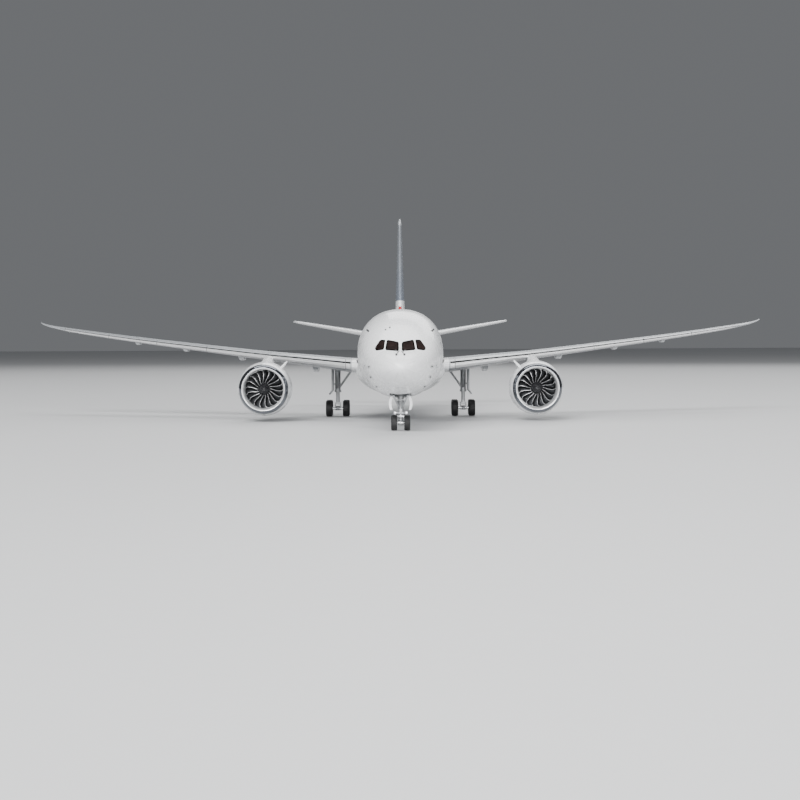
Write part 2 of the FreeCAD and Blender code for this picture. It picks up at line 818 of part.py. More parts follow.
# distance aft of the intake lip, radius
STRAKE = ((5.6, 9.3), (13.0, 9.3), (12.4, 12.8), (10.6, 12.9))
STRAKE_THICKNESS, STRAKE_TURN = 0.8, 39.0
CHEVRONS = 20
STRUTS = 8
BLADES = 18
# radius, how far the section leads round the hub in degrees, blade width, stagger in degrees
BLADE_SECTIONS = (
    (1.9, 0.0, 2.5, 22.0),
    (3.1, 5.0, 2.7, 34.0),
    (4.4, 9.0, 2.8, 45.0),
    (5.7, 8.0, 2.7, 54.0),
    (6.93, 1.0, 2.4, 60.0),
)
BLADE_THICKNESS = 0.22


def lip_solid(centre):
    nose = spline(profile(*LIP_OUTSIDE))
    ends = profile(LIP_OUTSIDE[0], LIP_OUTSIDE[-1])
    return spun([nose, straight(ends[1], ends[0])], centre)


def cowl_envelope(centre):
    """Lip and cowl as one solid body with no duct, for trimming what touches the outside."""
    outside = profile(*reversed(LIP_OUTSIDE[:4]))
    outside += profile(*COWL_OUTSIDE[1:])
    front, back = outside[0], outside[-1]
    edges = [
        spline(outside),
        straight(back, Vector(0, back.y, 0)),
        straight(Vector(0, back.y, 0), Vector(0, front.y, 0)),
        straight(Vector(0, front.y, 0), front),
    ]
    return spun(edges, centre)


def cowl_solid(centre, side):
    """The fan cowl and reverser with a saw-toothed nozzle, and the strake on its inboard shoulder."""
    outside, inside = profile(*COWL_OUTSIDE), profile(*COWL_INSIDE)
    edges = [
        spline(outside),
        straight(outside[-1], inside[0]),
        spline(inside),
        straight(inside[-1], outside[0]),
    ]
    ring = spun(edges, centre)
    end, depth = dim("fan_nozzle_at"), dim("chevron_depth")
    half_angle = math.pi / CHEVRONS
    teeth = []
    for k in range(CHEVRONS):
        tooth = Part.makePolygon([
            Vector(-9.5 * math.tan(half_angle), end + EPS, 9.5),
            Vector(9.5 * math.tan(half_angle), end + EPS, 9.5),
            Vector(0, end - depth, 9.5),
            Vector(-9.5 * math.tan(half_angle), end + EPS, 9.5),
        ])
        point = Part.makePolygon([
            Vector(-6.5 * math.tan(half_angle), end + EPS, 6.5),
            Vector(6.5 * math.tan(half_angle), end + EPS, 6.5),
            Vector(0, end - depth, 6.5),
            Vector(-6.5 * math.tan(half_angle), end + EPS, 6.5),
        ])
        wedge = Part.makeLoft([Part.Wire(tooth), Part.Wire(point)], True, True)
        wedge.rotate(Vector(), Y_AXIS, 360.0 * (k + 0.5) / CHEVRONS)
        wedge.translate(centre)
        teeth.append(wedge)
    ring = ring.cut(teeth)
    low = -STRAKE_THICKNESS / 2
    corners = [Vector(low, aft, radius) for aft, radius in STRAKE]
    strake = Part.Face(Part.makePolygon(corners + corners[:1]))
    strake = strake.extrude(Vector(STRAKE_THICKNESS, 0, 0))
    strake.rotate(Vector(), Y_AXIS, -STRAKE_TURN * side)
    strake.translate(centre)
    return ring.fuse(strake)


def core_solid(centre):
    """The core cowl with its guide-vane struts, a bore for the fan's pin and a seat for the plug."""
    outside, inside = profile(*CORE_OUTSIDE), profile(*CORE_INSIDE)
    axis_back = Vector(0, inside[-1].y, 0)
    axis_front = Vector(0, outside[0].y, 0)
    edges = [
        spline(outside),
        straight(outside[-1], inside[0]),
        spline(inside),
        straight(inside[-1], axis_back),
        straight(axis_back, axis_front),
        straight(axis_front, outside[0]),
    ]
    body = spun(edges, centre)
    struts = []
    for k in range(STRUTS):
        vane = Part.makeBox(0.4, 3.0, 4.6, Vector(-0.2, 11.5, 2.9))
        vane.rotate(Vector(), Y_AXIS, 360.0 * k / STRUTS)
        vane.translate(centre)
        struts.append(vane)
    rim = spun(
        [
            straight(*profile((9.0, 0.0), (9.0, 7.08))),
            straight(*profile((9.0, 7.08), (20.0, 7.12))),
            straight(*profile((20.0, 7.12), (20.0, 0.0))),
            straight(*profile((20.0, 0.0), (9.0, 0.0))),
        ],
        centre,
    )
    body = body.fuse([strut.common(rim) for strut in struts])
    hole = Part.makeCylinder(dim("fan_pin_radius"), 6.0,
                             centre + Vector(0, dim("core_front") - EPS, 0), Y_AXIS)
    return body.cut(hole)


def fan_solid(centre):
    """Hub, spinner and blades in one moulding, with a bore that runs on the pin."""
    front, length = dim("fan_front"), dim("fan_length")
    hub_radius, tip = dim("fan_hub_radius"), dim("fan_radius")
    nose = dim("spinner_length")
    spinner = profile((front - nose, 0.0), (front - 0.85 * nose, 0.55), (front - 0.4 * nose, 1.45),
                      (front, hub_radius))
    back = profile((front + length, hub_radius + 0.15), (front + length, 0.0))
    body = spun(
        [
            spline(spinner),
            straight(spinner[-1], back[0]),
            straight(back[0], back[1]),
            straight(back[1], spinner[0]),
        ],
        centre,
    )
    middle = front + length / 2
    sections = []
    for radius, lead, width, stagger in BLADE_SECTIONS:
        turn = math.radians(stagger)
        along = Vector(math.sin(turn), math.cos(turn), 0) * (width / 2)
        thick = Vector(math.cos(turn), -math.sin(turn), 0) * (BLADE_THICKNESS / 2)
        stem = Vector(radius * math.radians(lead), middle, radius)
        corners = [stem - along - thick, stem + along - thick, stem + along + thick,
                   stem - along + thick]
        sections.append(Part.makePolygon(corners + corners[:1]))
    sweep = Part.makeCylinder(tip, 2 * length, Vector(0, front - length / 2, 0), Y_AXIS)
    blade = Part.makeLoft(sections, True, True).common(sweep)
    blades = []
    for k in range(BLADES):
        one = blade.copy()
        one.rotate(Vector(), Y_AXIS, 360.0 * k / BLADES)
        one.translate(centre)
        blades.append(one)
    wheel = body.fuse(blades)
    bore = Part.makeCylinder(dim("fan_pin_radius") + dim("pin_clearance"), length + EPS,
                             centre + Vector(0, front, 0), Y_AXIS)
    return wheel.cut(bore)


# height, then front and back stations and width of the pylon's lens-shaped plan
PYLON_SECTIONS = (
    (16.0, 113.0, 145.0, 2.0),
    (19.5, 108.5, 152.0, 3.6),
    (21.8, 109.5, 156.0, 4.0),
    (24.0, 129.6, 151.0, 2.4),
)


def pylon_form():
    sections = []
    for z, front, back, width in PYLON_SECTIONS:
        edge = Vector(dim("engine_x"), at_station(front), z)
        sections.append(airfoil(edge, back - front, width, X_AXIS))
    return Part.makeLoft(sections, True, True)


def make_engines(forms):
    for side, name in ((1, "port"), (-1, "starboard")):
        centre = engine_centre(side)
        keep(shaped("lip", lip_solid(centre)), f"{name}_intake_lip")
        keep(shaped("cowl", cowl_solid(centre, side)), f"{name}_fan_cowl")
        keep(shaped("core", core_solid(centre)), f"{name}_engine_core")
        plug = profile(*PLUG_OUTSIDE)
        base = Vector(0, plug[0].y, 0)
        plug_edges = [spline(plug), straight(plug[-1], base), straight(base, plug[0])]
        keep(shaped("plug", spun(plug_edges, centre)), f"{name}_exhaust_plug")
        keep(shaped("fan", fan_solid(centre)), f"{name}_fan")
        reach = "Dims.core_front + 5 - Dims.fan_front - 0.1"
        pin = cylinder(
            "fan_pin", "Dims.fan_pin_radius", reach,
            f"{side} * Dims.engine_x", y_of("intake_station", "Dims.fan_front + 0.1"),
            "Dims.engine_z", ALONG_Y,
        )
        keep(pin, f"{name}_fan_pin")
    centre = engine_centre(1)
    core_envelope = spun(
        [
            spline(profile(*CORE_OUTSIDE)),
            straight(*profile(CORE_OUTSIDE[-1], (33.6, 0.0))),
            straight(*profile((33.6, 0.0), (9.0, 0.0))),
            straight(*profile((9.0, 0.0), CORE_OUTSIDE[0])),
        ],
        centre,
    )
    pylon = cut(
        "port_pylon", shaped("pylon_form", pylon_form()),
        shaped("cowl_envelope", cowl_envelope(centre)),
        shaped("core_envelope", core_envelope), forms["wing"],
    )
    both_sides("pylon", pylon)


# ---------------------------------------------------------------- landing gear
def wheel_pair(label, side_x, axle, station, more, tyre_radius, width, wheel_x, rim, inner_reach):
    """Two wheels on one axle: the hubs pressed on the axle, and the tyres. Sizes are expressions."""
    centre = {"y": y_of(station, more), "z": tyre_radius}
    pin = cylinder(
        f"{label}_axle", axle, f"2 * ({wheel_x} + {width} * 0.38)",
        f"{side_x} - {wheel_x} - {width} * 0.38", centre["y"], centre["z"], ALONG_X,
    )
    hubs, tyres = [pin], []
    for way in (-1, 1):
        x = f"{side_x} + {way} * {wheel_x}"
        flip = (Z_AXIS, 180) if way < 0 else None
        hubs.append(
            turned(
                f"{label}_hub",
                [
                    (f"{inner_reach} - {wheel_x}", axle),
                    (f"{inner_reach} - {wheel_x}", f"{axle} + 0.3"),
                    (f"-{width} * 0.3", f"{axle} + 0.3"),
                    (f"-{width} * 0.3", f"{rim} - 0.3"),
                    (f"-{width} * 0.42", f"{rim} - 0.2"),
                    (f"-{width} * 0.42", rim),
                    (f"{width} * 0.42", rim),
                    (f"{width} * 0.42", f"{rim} - 0.2"),
                    (f"{width} * 0.2", f"{rim} - 0.35"),
                    (f"{width} * 0.2", f"{axle} + 0.35"),
                    (f"{width} * 0.38", f"{axle} + 0.25"),
                    (f"{width} * 0.38", axle),
                ],
                x, centre["y"], centre["z"], flip,
            )
        )
        tyres.append(
            turned(
                f"{label}_tyre",
                [
                    (f"-{width} * 0.42", rim),
                    (f"-{width} * 0.5", f"{rim} + ({tyre_radius} - {rim}) * 0.35"),
                    (f"-{width} * 0.47", f"{rim} + ({tyre_radius} - {rim}) * 0.72"),
                    (f"-{width} * 0.28", tyre_radius),
                    (f"{width} * 0.28", tyre_radius),
                    (f"{width} * 0.47", f"{rim} + ({tyre_radius} - {rim}) * 0.72"),
                    (f"{width} * 0.5", f"{rim} + ({tyre_radius} - {rim}) * 0.35"),
                    (f"{width} * 0.42", rim),
                ],
                x, centre["y"], centre["z"], flip, rounded="0.12",
            )
        )
    keep(group(f"{label}_wheels", *hubs), f"{label}_wheels")
    keep(group(f"{label}_tyres", *tyres), f"{label}_tyres")


def make_nose_gear(forms):
    gear_y = y_of("nose_gear_station")
    gear = Vector(0, at_station(dim("nose_gear_station")), 0)
    barrel = cylinder(
        "nose_barrel", "Dims.nose_barrel_radius",
        "Dims.nose_barrel_top_z - Dims.nose_barrel_bottom_z", y=gear_y,
        z="Dims.nose_barrel_bottom_z",
    )
    lamp_bar = box(
        "lamp_bar", ("-1.7", f"{gear_y} - Dims.nose_barrel_radius - 0.35", "5.6"), ("3.4", "0.9", "0.5")
    )
    collar = cylinder("barrel_collar", "Dims.nose_barrel_radius + 0.2", "0.6", y=gear_y, z="9.0")
    trunnion = cylinder(
        "trunnion", "0.55", "2 * (Dims.nose_bay_half_width - Dims.nose_bay_wall)",
        "-Dims.nose_bay_half_width + Dims.nose_bay_wall", gear_y, "12.7", ALONG_X,
    )
    well = cylinder(
        "piston_well", "Dims.nose_piston_radius + Dims.pin_clearance", "4.3", y=gear_y,
        z="Dims.nose_barrel_bottom_z - 0.1",
    )
    leg_solid = fuse("nose_leg_solid", barrel, lamp_bar, collar, trunnion)
    leg = cut("nose_leg", leg_solid, well)
    keep(leg, "nose_leg")

    lamps = []
    for way in (-1, 1):
        lamps.append(
            turned(
                "lamp", [("-0.75", "0"), ("-0.75", "0.48"), ("0.1", "0.48"), ("0.45", "0.2"), ("0.45", "0")],
                f"{way} * 1.83", f"{gear_y} - Dims.nose_barrel_radius - 0.45", "5.85", (Z_AXIS, 90),
            )
        )
    bar_ends = [cut("lamp_body", lamp, leg) for lamp in lamps]
    keep(group("nose_lamps", *bar_ends), "nose_lamps")

    arms = [
        rod("brace_arm", gear + Vector(way * 0.35, -0.75, 7.3), gear + Vector(way * 2.3, -6.3, 11.6),
            "0.3")
        for way in (-1, 1)
    ]
    cross = rod("brace_cross", gear + Vector(-1.7, -4.5, 10.2), gear + Vector(1.7, -4.5, 10.2), "0.22")
    keep(cut("nose_drag_brace", fuse("brace", *arms, cross), leg_solid), "nose_drag_brace")

    # the door hangs from the bay's edge and bows outward like the belly skin that it was
    middle = Part.Arc(Vector(3.05, 0, 11.6), Vector(3.85, 0, 9.6), Vector(3.35, 0, 6.95))
    inner = Part.Arc(Vector(2.6, 0, 7.0), Vector(2.9, 0, 9.5), Vector(2.15, 0, 11.6))
    ends = [
        straight(Vector(3.35, 0, 6.95), Vector(2.6, 0, 7.0)),
        straight(Vector(2.15, 0, 11.6), Vector(3.05, 0, 11.6)),
    ]
    leaf = Part.Face(Part.Wire([middle.toShape(), ends[0], inner.toShape(), ends[1]]))
    leaf = leaf.extrude(Vector(0, 10.0, 0))
    leaf.translate(Vector(0, at_station(dim("nose_gear_station")) - 5.4, 0))
    leaf = leaf.makeFillet(0.14, leaf.Edges)
    door = cut("port_nose_door", shaped("nose_door_form", leaf), forms["fuselage"])
    both_sides("nose_door", door)

    piston = cylinder(
        "nose_piston", "Dims.nose_piston_radius", "9.3 - Dims.nose_tyre_radius", y=gear_y,
        z="Dims.nose_tyre_radius",
    )
    steering = cylinder("steering_collar", "0.95", "0.9", y=gear_y, z="4.3")
    cams = box("steering_jacks", ("-1.05", f"{gear_y} - 1.25", "4.45"), ("2.1", "1.0", "0.6"))
    housing = cylinder("axle_housing", "0.78", "1.8", "-0.9", gear_y, "Dims.nose_tyre_radius", ALONG_X)
    axle_hole = cylinder(
        "nose_axle_hole", "Dims.nose_axle_radius + Dims.pin_clearance", "2", "-1", gear_y,
        "Dims.nose_tyre_radius", ALONG_X,
    )
    fork_solid = fuse("fork_solid", piston, steering, cams, housing)
    keep(cut("nose_fork", fork_solid, axle_hole), "nose_fork")
    links = plate(
        "nose_links", "YZ_Plane",
        [("-0.4", "4.5"), ("-2.0", "3.95"), ("-2.1", "3.7"), ("-0.4", "2.6"), ("-0.4", "3.0"),
         ("-1.5", "3.75"), ("-0.4", "4.15")],
        "0.7", y=gear_y,
    )
    keep(cut("nose_torque_links", links, fork_solid), "nose_torque_links")
    wheel_pair(
        "nose", "0", "Dims.nose_axle_radius", "nose_gear_station", "0", "Dims.nose_tyre_radius",
        "Dims.nose_tyre_width", "Dims.nose_wheel_x", "Dims.nose_rim_radius", "1.0",
    )


def make_main_gear(forms):
    x, y = "Dims.main_gear_x", y_of("main_gear_station")
    axle_z = "Dims.main_tyre_radius"
    foot = Vector(dim("main_gear_x"), at_station(dim("main_gear_station")), 0)
    barrel = cylinder("main_barrel", "Dims.main_barrel_radius", "11", x, y, "Dims.main_barrel_bottom_z")
    collar = cylinder("main_collar", "Dims.main_barrel_radius + 0.22", "0.8", x, y,
                      "Dims.main_barrel_bottom_z")
    piston = cylinder("main_piston", "Dims.main_piston_radius", "5.2", x, y, "5.2")
    crown = box(
        "fork_crown", (f"{x} - Dims.fork_outer_x", f"{y} - 0.8", "4.6"),
        ("2 * Dims.fork_outer_x", "1.6", "0.8"),
    )
    ears = [
        box(
            "fork_ear", (f"{x} + {low}", f"{y} - 0.8", f"{axle_z} - 0.8"),
            ("Dims.fork_outer_x - Dims.fork_inner_x", "1.6", f"5 - {axle_z} + 0.8"),
        )
        for low in ("Dims.fork_inner_x", "-Dims.fork_outer_x")
    ]
    pin_hole = cylinder(
        "bogie_pin_hole", "Dims.bogie_pin_radius", "2 * Dims.fork_outer_x + 0.2",
        f"{x} - Dims.fork_outer_x - 0.1", y, axle_z, ALONG_X,
    )
    leg = cut("main_leg", fuse("main_leg_solid", barrel, collar, piston, crown, *ears),
              forms["wing"], pin_hole)
    both_sides("main_leg", leg)
    pin = cylinder(
        "bogie_pin", "Dims.bogie_pin_radius", "2 * Dims.fork_outer_x + 0.2",
        f"{x} - Dims.fork_outer_x - 0.1", y, axle_z, ALONG_X,
    )
    both_sides("bogie_pin", pin)

    side_stay = rod("side_stay", foot + Vector(-6.2, 0.2, 19.0), foot + Vector(-0.6, 0, 11.2), "0.42")
    drag_stay = rod("drag_stay", foot + Vector(0, -8.6, 20.5), foot + Vector(0, -0.6, 11.0), "0.4")
    stays = cut("main_stays", fuse("stays_solid", side_stay, drag_stay), forms["wing"], leg)
    both_sides("main_leg_stays", stays)

    links = plate(
        "main_links", "YZ_Plane",
        [("0.5", "9.8"), ("2.9", "7.7"), ("2.9", "7.2"), ("0.5", "5.0"), ("0.5", "5.6"),
         ("2.2", "7.45"), ("0.5", "9.1")],
        "0.9", x, y,
    )
    both_sides("main_torque_links", cut("main_torque_links", links, leg))

    door = plate(
        "leg_door", "XZ_Plane",
        [("1.5", "18.7"), ("2.45", "18.7"), ("2.45", "10.3"), ("3.55", "8.75"), ("3.0", "8.4"),
         ("1.5", "10.15")],
        "6.6", x, y,
    )
    bracket = box("door_bracket", (f"{x} + 0.9", f"{y} - 0.5", "12.2"), ("0.9", "1", "0.7"))
    both_sides("leg_door", cut("leg_door_trimmed", fuse("leg_door_solid", door, bracket),
                               forms["wing"], leg))

    beam = plate(
        "bogie_beam_bar", "YZ_Plane",
        [("-Dims.main_axle_offset - 0.75", "-0.5"), ("-Dims.main_axle_offset - 0.4", "-0.75"),
         ("Dims.main_axle_offset + 0.4", "-0.75"), ("Dims.main_axle_offset + 0.75", "-0.5"),
         ("Dims.main_axle_offset + 0.75", "0.5"), ("Dims.main_axle_offset + 0.4", "0.7"),
         ("0.9", "0.55"), ("0.5", "Dims.beam_half_height"), ("-0.5", "Dims.beam_half_height"),
         ("-0.9", "0.55"), ("-Dims.main_axle_offset - 0.4", "0.7"),
         ("-Dims.main_axle_offset - 0.75", "0.5")],
        "2 * Dims.beam_half_width", x, y, axle_z,
    )
    bores = [
        cylinder(
            "beam_bore", f"{radius} + Dims.pin_clearance", "4", f"{x} - 2",
            f"{y} + {offset}", axle_z, ALONG_X,
        )
        for offset, radius in (
            ("0", "Dims.bogie_pin_radius"),
            ("Dims.main_axle_offset", "Dims.main_axle_radius"),
            ("-Dims.main_axle_offset", "Dims.main_axle_radius"),
        )
    ]
    both_sides("bogie_beam", cut("bogie_beam", beam, *bores))
    for name, side in (("port", "Dims.main_gear_x"), ("starboard", "-Dims.main_gear_x")):
        for end, offset in (("front", "-Dims.main_axle_offset"), ("rear", "Dims.main_axle_offset")):
            wheel_pair(
                f"{name}_{end}", side, "Dims.main_axle_radius", "main_gear_station", offset,
                "Dims.main_tyre_radius", "Dims.main_tyre_width", "Dims.main_wheel_x",
                "Dims.main_rim_radius", "0.9",
            )


# ---------------------------------------------------------------- the model
def make_forms():
    """The smooth outside forms that pieces are cut from or trimmed against."""
    tip_z = dim("fuselage_axis_z") + FUSELAGE_LINES[0][1] * dim("fuselage_height") / 2
    tip = Vector(0, at_station(0), tip_z)
    stations = NOSE_STATIONS + BARREL_STATIONS + TAIL_STATIONS
    forms = {
        "fuselage": shaped("fuselage_form", fuselage_form(stations, tip=tip)),
        "wing": shaped("wing_form", wing_form()),
        "tailplane": shaped("tailplane_form", tailplane_form()),
        "fin": shaped("fin_form", fin_form()),
    }
    for name in ("wing", "tailplane"):
        forms[f"starboard_{name}"] = mirrored(f"starboard_{name}_form", forms[name])
    return forms


def check_document():
    """Stops if any object failed, or any sub-part isn't a set of valid closed solids."""
    for thing in DOC.Objects:
        if {"Invalid", "Error"} & set(thing.State):
            raise SystemExit(f"{thing.Label} failed: {thing.State}")
    for piece in SUB_PARTS:
        shape = piece.Shape
        if shape.isNull() or not shape.isValid() or not shape.Solids:
            raise SystemExit(f"{piece.Label} has no valid solid")


def write_parts():
    os.makedirs(OUT, exist_ok=True)
    for piece in SUB_PARTS:
        piece.Shape.exportStep(os.path.join(OUT, piece.Label + ".step"))
        print(f"{piece.Label}: {len(piece.Shape.Solids)} solids, {piece.Shape.Volume:.2f} mm3")


def main():
    fill_sheet()
    forms = make_forms()
    make_fuselage(forms)
    make_belly(forms)
    make_wings(forms)
    make_tail(forms)
    make_antennas(forms)
    make_engines(forms)
    make_nose_gear(forms)
    make_main_gear(forms)
    DOC.recompute()
    check_document()
    write_parts()


main()
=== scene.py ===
"""Looks of the desktop airliner model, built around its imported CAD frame.

Sizes are in millimetres, in the CAD's row frame: +Z up, nose towards -Y, port towards +X. They
turn into metres where a mesh is made. A station is a distance aft of the nose tip. The forms
repeat the CAD's section tables, so each skin lies where the node that it replaces lies.
"""

import math

import bmesh
import bpy
import numpy as np
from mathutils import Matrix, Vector
from mathutils.bvhtree import BVHTree


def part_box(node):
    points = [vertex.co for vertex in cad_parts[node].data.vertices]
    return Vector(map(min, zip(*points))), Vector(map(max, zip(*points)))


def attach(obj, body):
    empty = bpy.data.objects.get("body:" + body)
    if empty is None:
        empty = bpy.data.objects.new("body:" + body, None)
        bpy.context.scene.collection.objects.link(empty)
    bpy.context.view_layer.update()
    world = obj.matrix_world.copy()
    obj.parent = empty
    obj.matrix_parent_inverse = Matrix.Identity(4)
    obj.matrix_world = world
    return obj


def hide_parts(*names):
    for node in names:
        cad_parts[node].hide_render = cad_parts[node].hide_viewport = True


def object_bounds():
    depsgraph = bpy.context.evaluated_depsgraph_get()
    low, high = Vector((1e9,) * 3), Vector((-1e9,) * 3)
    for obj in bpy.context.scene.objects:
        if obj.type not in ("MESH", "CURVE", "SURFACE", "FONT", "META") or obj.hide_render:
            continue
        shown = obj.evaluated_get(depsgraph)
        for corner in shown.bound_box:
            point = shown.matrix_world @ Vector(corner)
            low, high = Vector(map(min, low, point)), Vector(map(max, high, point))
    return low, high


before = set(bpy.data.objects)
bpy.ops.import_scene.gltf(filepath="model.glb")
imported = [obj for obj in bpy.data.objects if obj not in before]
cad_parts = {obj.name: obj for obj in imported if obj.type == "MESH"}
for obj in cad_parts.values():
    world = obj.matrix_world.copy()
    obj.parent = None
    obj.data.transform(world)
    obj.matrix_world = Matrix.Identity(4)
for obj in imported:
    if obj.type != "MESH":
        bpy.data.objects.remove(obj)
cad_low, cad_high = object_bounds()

MM = 0.001
LENGTH = 314.0
AXIS_Z = 25.1
HALF_WIDTH = 14.425
HALF_HEIGHT = 14.925
ENGINE_X, ENGINE_Z, INTAKE_STATION = 49.75, 12.0, 98.0
NOSE_GEAR_STATION, MAIN_GEAR_STATION, MAIN_GEAR_X = 27.5, 156.5, 24.5
SIDES = ((1, "port"), (-1, "starboard"))
FRONT, UP = Vector((0, -1, 0)), Vector((0, 0, 1))


def at_station(station):
    return station - LENGTH / 2


# ---- section tables
# station, then crown, keel and widest height as shares of the half height, and half width share
FUSELAGE_LINES = (
    (0.0, -0.268, -0.268, -0.268, 0.0), (0.5, -0.178, -0.358, -0.265, 0.132),
    (1.5, -0.111, -0.429, -0.255, 0.236), (3.0, -0.047, -0.499, -0.241, 0.336),
    (5.0, 0.017, -0.570, -0.228, 0.437), (10.0, 0.165, -0.704, -0.184, 0.620),
    (15.0, 0.355, -0.797, -0.141, 0.749), (20.0, 0.543, -0.868, -0.100, 0.839),
    (25.0, 0.700, -0.918, -0.067, 0.901), (30.0, 0.817, -0.955, -0.040, 0.943),
    (40.0, 0.955, -0.993, -0.007, 0.990), (52.0, 1.0, -1.0, 0.0, 1.0),
    (212.0, 1.0, -1.0, 0.0, 1.0), (224.0, 1.0, -0.965, 0.010, 0.980),
    (240.0, 0.992, -0.797, 0.067, 0.891), (256.0, 0.955, -0.545, 0.180, 0.744),
    (270.0, 0.891, -0.312, 0.260, 0.589), (282.0, 0.816, -0.095, 0.340, 0.450),
    (292.0, 0.745, 0.075, 0.395, 0.325), (302.0, 0.663, 0.235, 0.440, 0.205),
    (314.0, 0.556, 0.375, 0.465, 0.094),
)
PINCH_DEPTH, PINCH_STATION, PINCH_REACH = 0.11, 17.0, 11.0
SHOULDER_FULLNESS = 2.2
# distance from the centreline, leading-edge station, chord, thickness ratio, incidence, height
WING_SECTIONS = (
    (8.0, 99.0, 68.5, 0.090, 1.9, 19.35), (18.0, 107.5, 58.0, 0.094, 1.6, 20.20),
    (32.5, 117.5, 46.6, 0.095, 1.1, 21.75), (49.5, 129.5, 35.8, 0.096, 0.5, 23.50),
    (80.0, 151.0, 26.2, 0.100, -0.2, 27.00), (110.0, 172.0, 18.7, 0.105, -0.9, 30.65),
    (133.0, 188.0, 13.2, 0.108, -1.4, 33.85), (140.0, 195.0, 9.8, 0.108, -1.6, 35.00),
    (146.0, 202.6, 5.9, 0.108, -1.8, 36.20), (149.3, 208.2, 3.0, 0.110, -2.0, 37.15),
    (150.3, 210.6, 1.3, 0.150, -2.0, 37.60),
)
WING_CAMBER, TRAILING_EDGE = 0.012, 0.28
WING_ROOT_X = 18.0
# distance from the centreline, leading-edge station, chord, thickness ratio, height
TAILPLANE_SECTIONS = (
    (2.5, 262.5, 32.6, 0.092, 30.35), (6.5, 266.0, 30.0, 0.092, 31.05),
    (27.5, 282.0, 21.0, 0.092, 34.70), (45.0, 295.3, 13.6, 0.092, 37.74),
    (47.3, 297.1, 12.4, 0.090, 38.14), (48.6, 298.8, 10.9, 0.088, 38.38),
    (49.3, 300.4, 9.1, 0.080, 38.50), (49.6, 302.4, 6.6, 0.070, 38.55),
)
# height, leading-edge station, trailing-edge station, thickness
FIN_SECTIONS = (
    (35.0, 228.0, 288.0, 3.6), (39.0, 232.5, 288.6, 3.9), (41.5, 240.5, 289.3, 4.0),
    (44.0, 247.6, 290.0, 3.9), (48.5, 253.0, 291.4, 3.7), (60.0, 263.6, 294.8, 3.0),
    (75.0, 277.4, 299.2, 2.15), (82.5, 284.4, 301.4, 1.7), (84.4, 287.4, 301.8, 1.15),
    (85.1, 290.6, 301.4, 0.45),
)
# station, half width, height where it is widest, belly height, top height
FAIRING_SECTIONS = (
    (84.0, 13.6, 18.6, 12.0, 24.0), (90.0, 15.0, 18.7, 10.8, 25.0),
    (97.0, 15.9, 18.8, 9.9, 26.0), (106.0, 16.3, 18.8, 9.4, 26.5),
    (136.0, 16.5, 18.4, 9.3, 26.0), (160.0, 16.3, 18.2, 9.4, 25.0),
    (172.0, 15.6, 18.2, 9.9, 24.4), (181.0, 14.6, 18.4, 10.9, 23.8),
    (189.0, 13.2, 18.6, 12.4, 23.2),
)
FAIRING_SQUARENESS = 1.95
# distance aft of the intake lip, radius
LIP_RING = (
    (2.0, 9.02), (1.1, 8.72), (0.4, 8.3), (0.0, 7.82), (0.28, 7.42), (1.0, 7.18), (2.0, 7.1),
)
COWL_OUTSIDE = (
    (2.0, 9.02), (4.5, 9.55), (8.0, 9.82), (12.0, 9.88), (17.0, 9.55), (22.0, 8.85), (26.6, 7.98),
)
COWL_INSIDE = ((26.6, 7.72), (20.0, 7.6), (14.0, 7.3), (10.0, 7.1), (6.0, 7.05), (2.0, 7.1))
CORE_OUTSIDE = ((9.0, 2.6), (13.0, 3.9), (18.0, 5.1), (23.0, 5.25), (28.0, 4.5), (33.6, 3.3))
CORE_INSIDE = ((33.6, 3.05), (31.5, 3.1), (29.5, 3.15))
PLUG_OUTSIDE = ((29.5, 2.45), (33.0, 2.0), (36.5, 1.05), (38.6, 0.4), (39.0, 0.02))
CHEVRONS, CHEVRON_DEPTH, CHEVRON_START = 20, 1.5, 22.0
# radius, lead, width and stagger of a fan blade's sections
BLADE_SECTIONS = (
    (1.9, 0.0, 2.5, 22.0), (3.1, 5.0, 2.7, 34.0), (4.4, 9.0, 2.8, 45.0), (5.7, 8.0, 2.7, 54.0),
    (6.93, 1.0, 2.4, 60.0),
)
BLADES, BLADE_THICKNESS, FAN_FRONT, FAN_LENGTH = 18, 0.22, 5.4, 2.6


def along_cubic(t, step, start, end, start_slope, end_slope):
    """A point at share t of a cubic that runs from start to end over a step."""
    return (
        (2 * t**3 - 3 * t**2 + 1) * start + (t**3 - 2 * t**2 + t) * step * start_slope
        + (3 * t**2 - 2 * t**3) * end + (t**3 - t**2) * step * end_slope
    )


def monotone(rows):
    """A smooth curve through rows of numbers that adds no bumps, looked up by their first column."""
    rows = np.array(rows, float)
    x, y = rows[:, 0], rows[:, 1:]
    slopes = np.diff(y, axis=0) / np.diff(x)[:, None]
    before, after = slopes[:-1], slopes[1:]
    same_way = before * after > 0
    total = np.where(same_way, before + after, 1.0)
    inner = np.where(same_way, 2 * before * after / total, 0.0)
    tangents = np.vstack([slopes[:1], inner, slopes[-1:]])

    def value(at):
        k = int(np.clip(np.searchsorted(x, at, side="right") - 1, 0, len(x) - 2))
        step = x[k + 1] - x[k]
        t = min(max((at - x[k]) / step, 0.0), 1.0)
        return along_cubic(t, step, y[k], y[k + 1], tangents[k], tangents[k + 1])

    return value


fuselage_lines = monotone([(math.sqrt(row[0]),) + row[1:] for row in FUSELAGE_LINES])
wing_lines = monotone(WING_SECTIONS)
tailplane_lines = monotone(TAILPLANE_SECTIONS)
fin_lines = monotone(FIN_SECTIONS)
fairing_lines = monotone(FAIRING_SECTIONS)


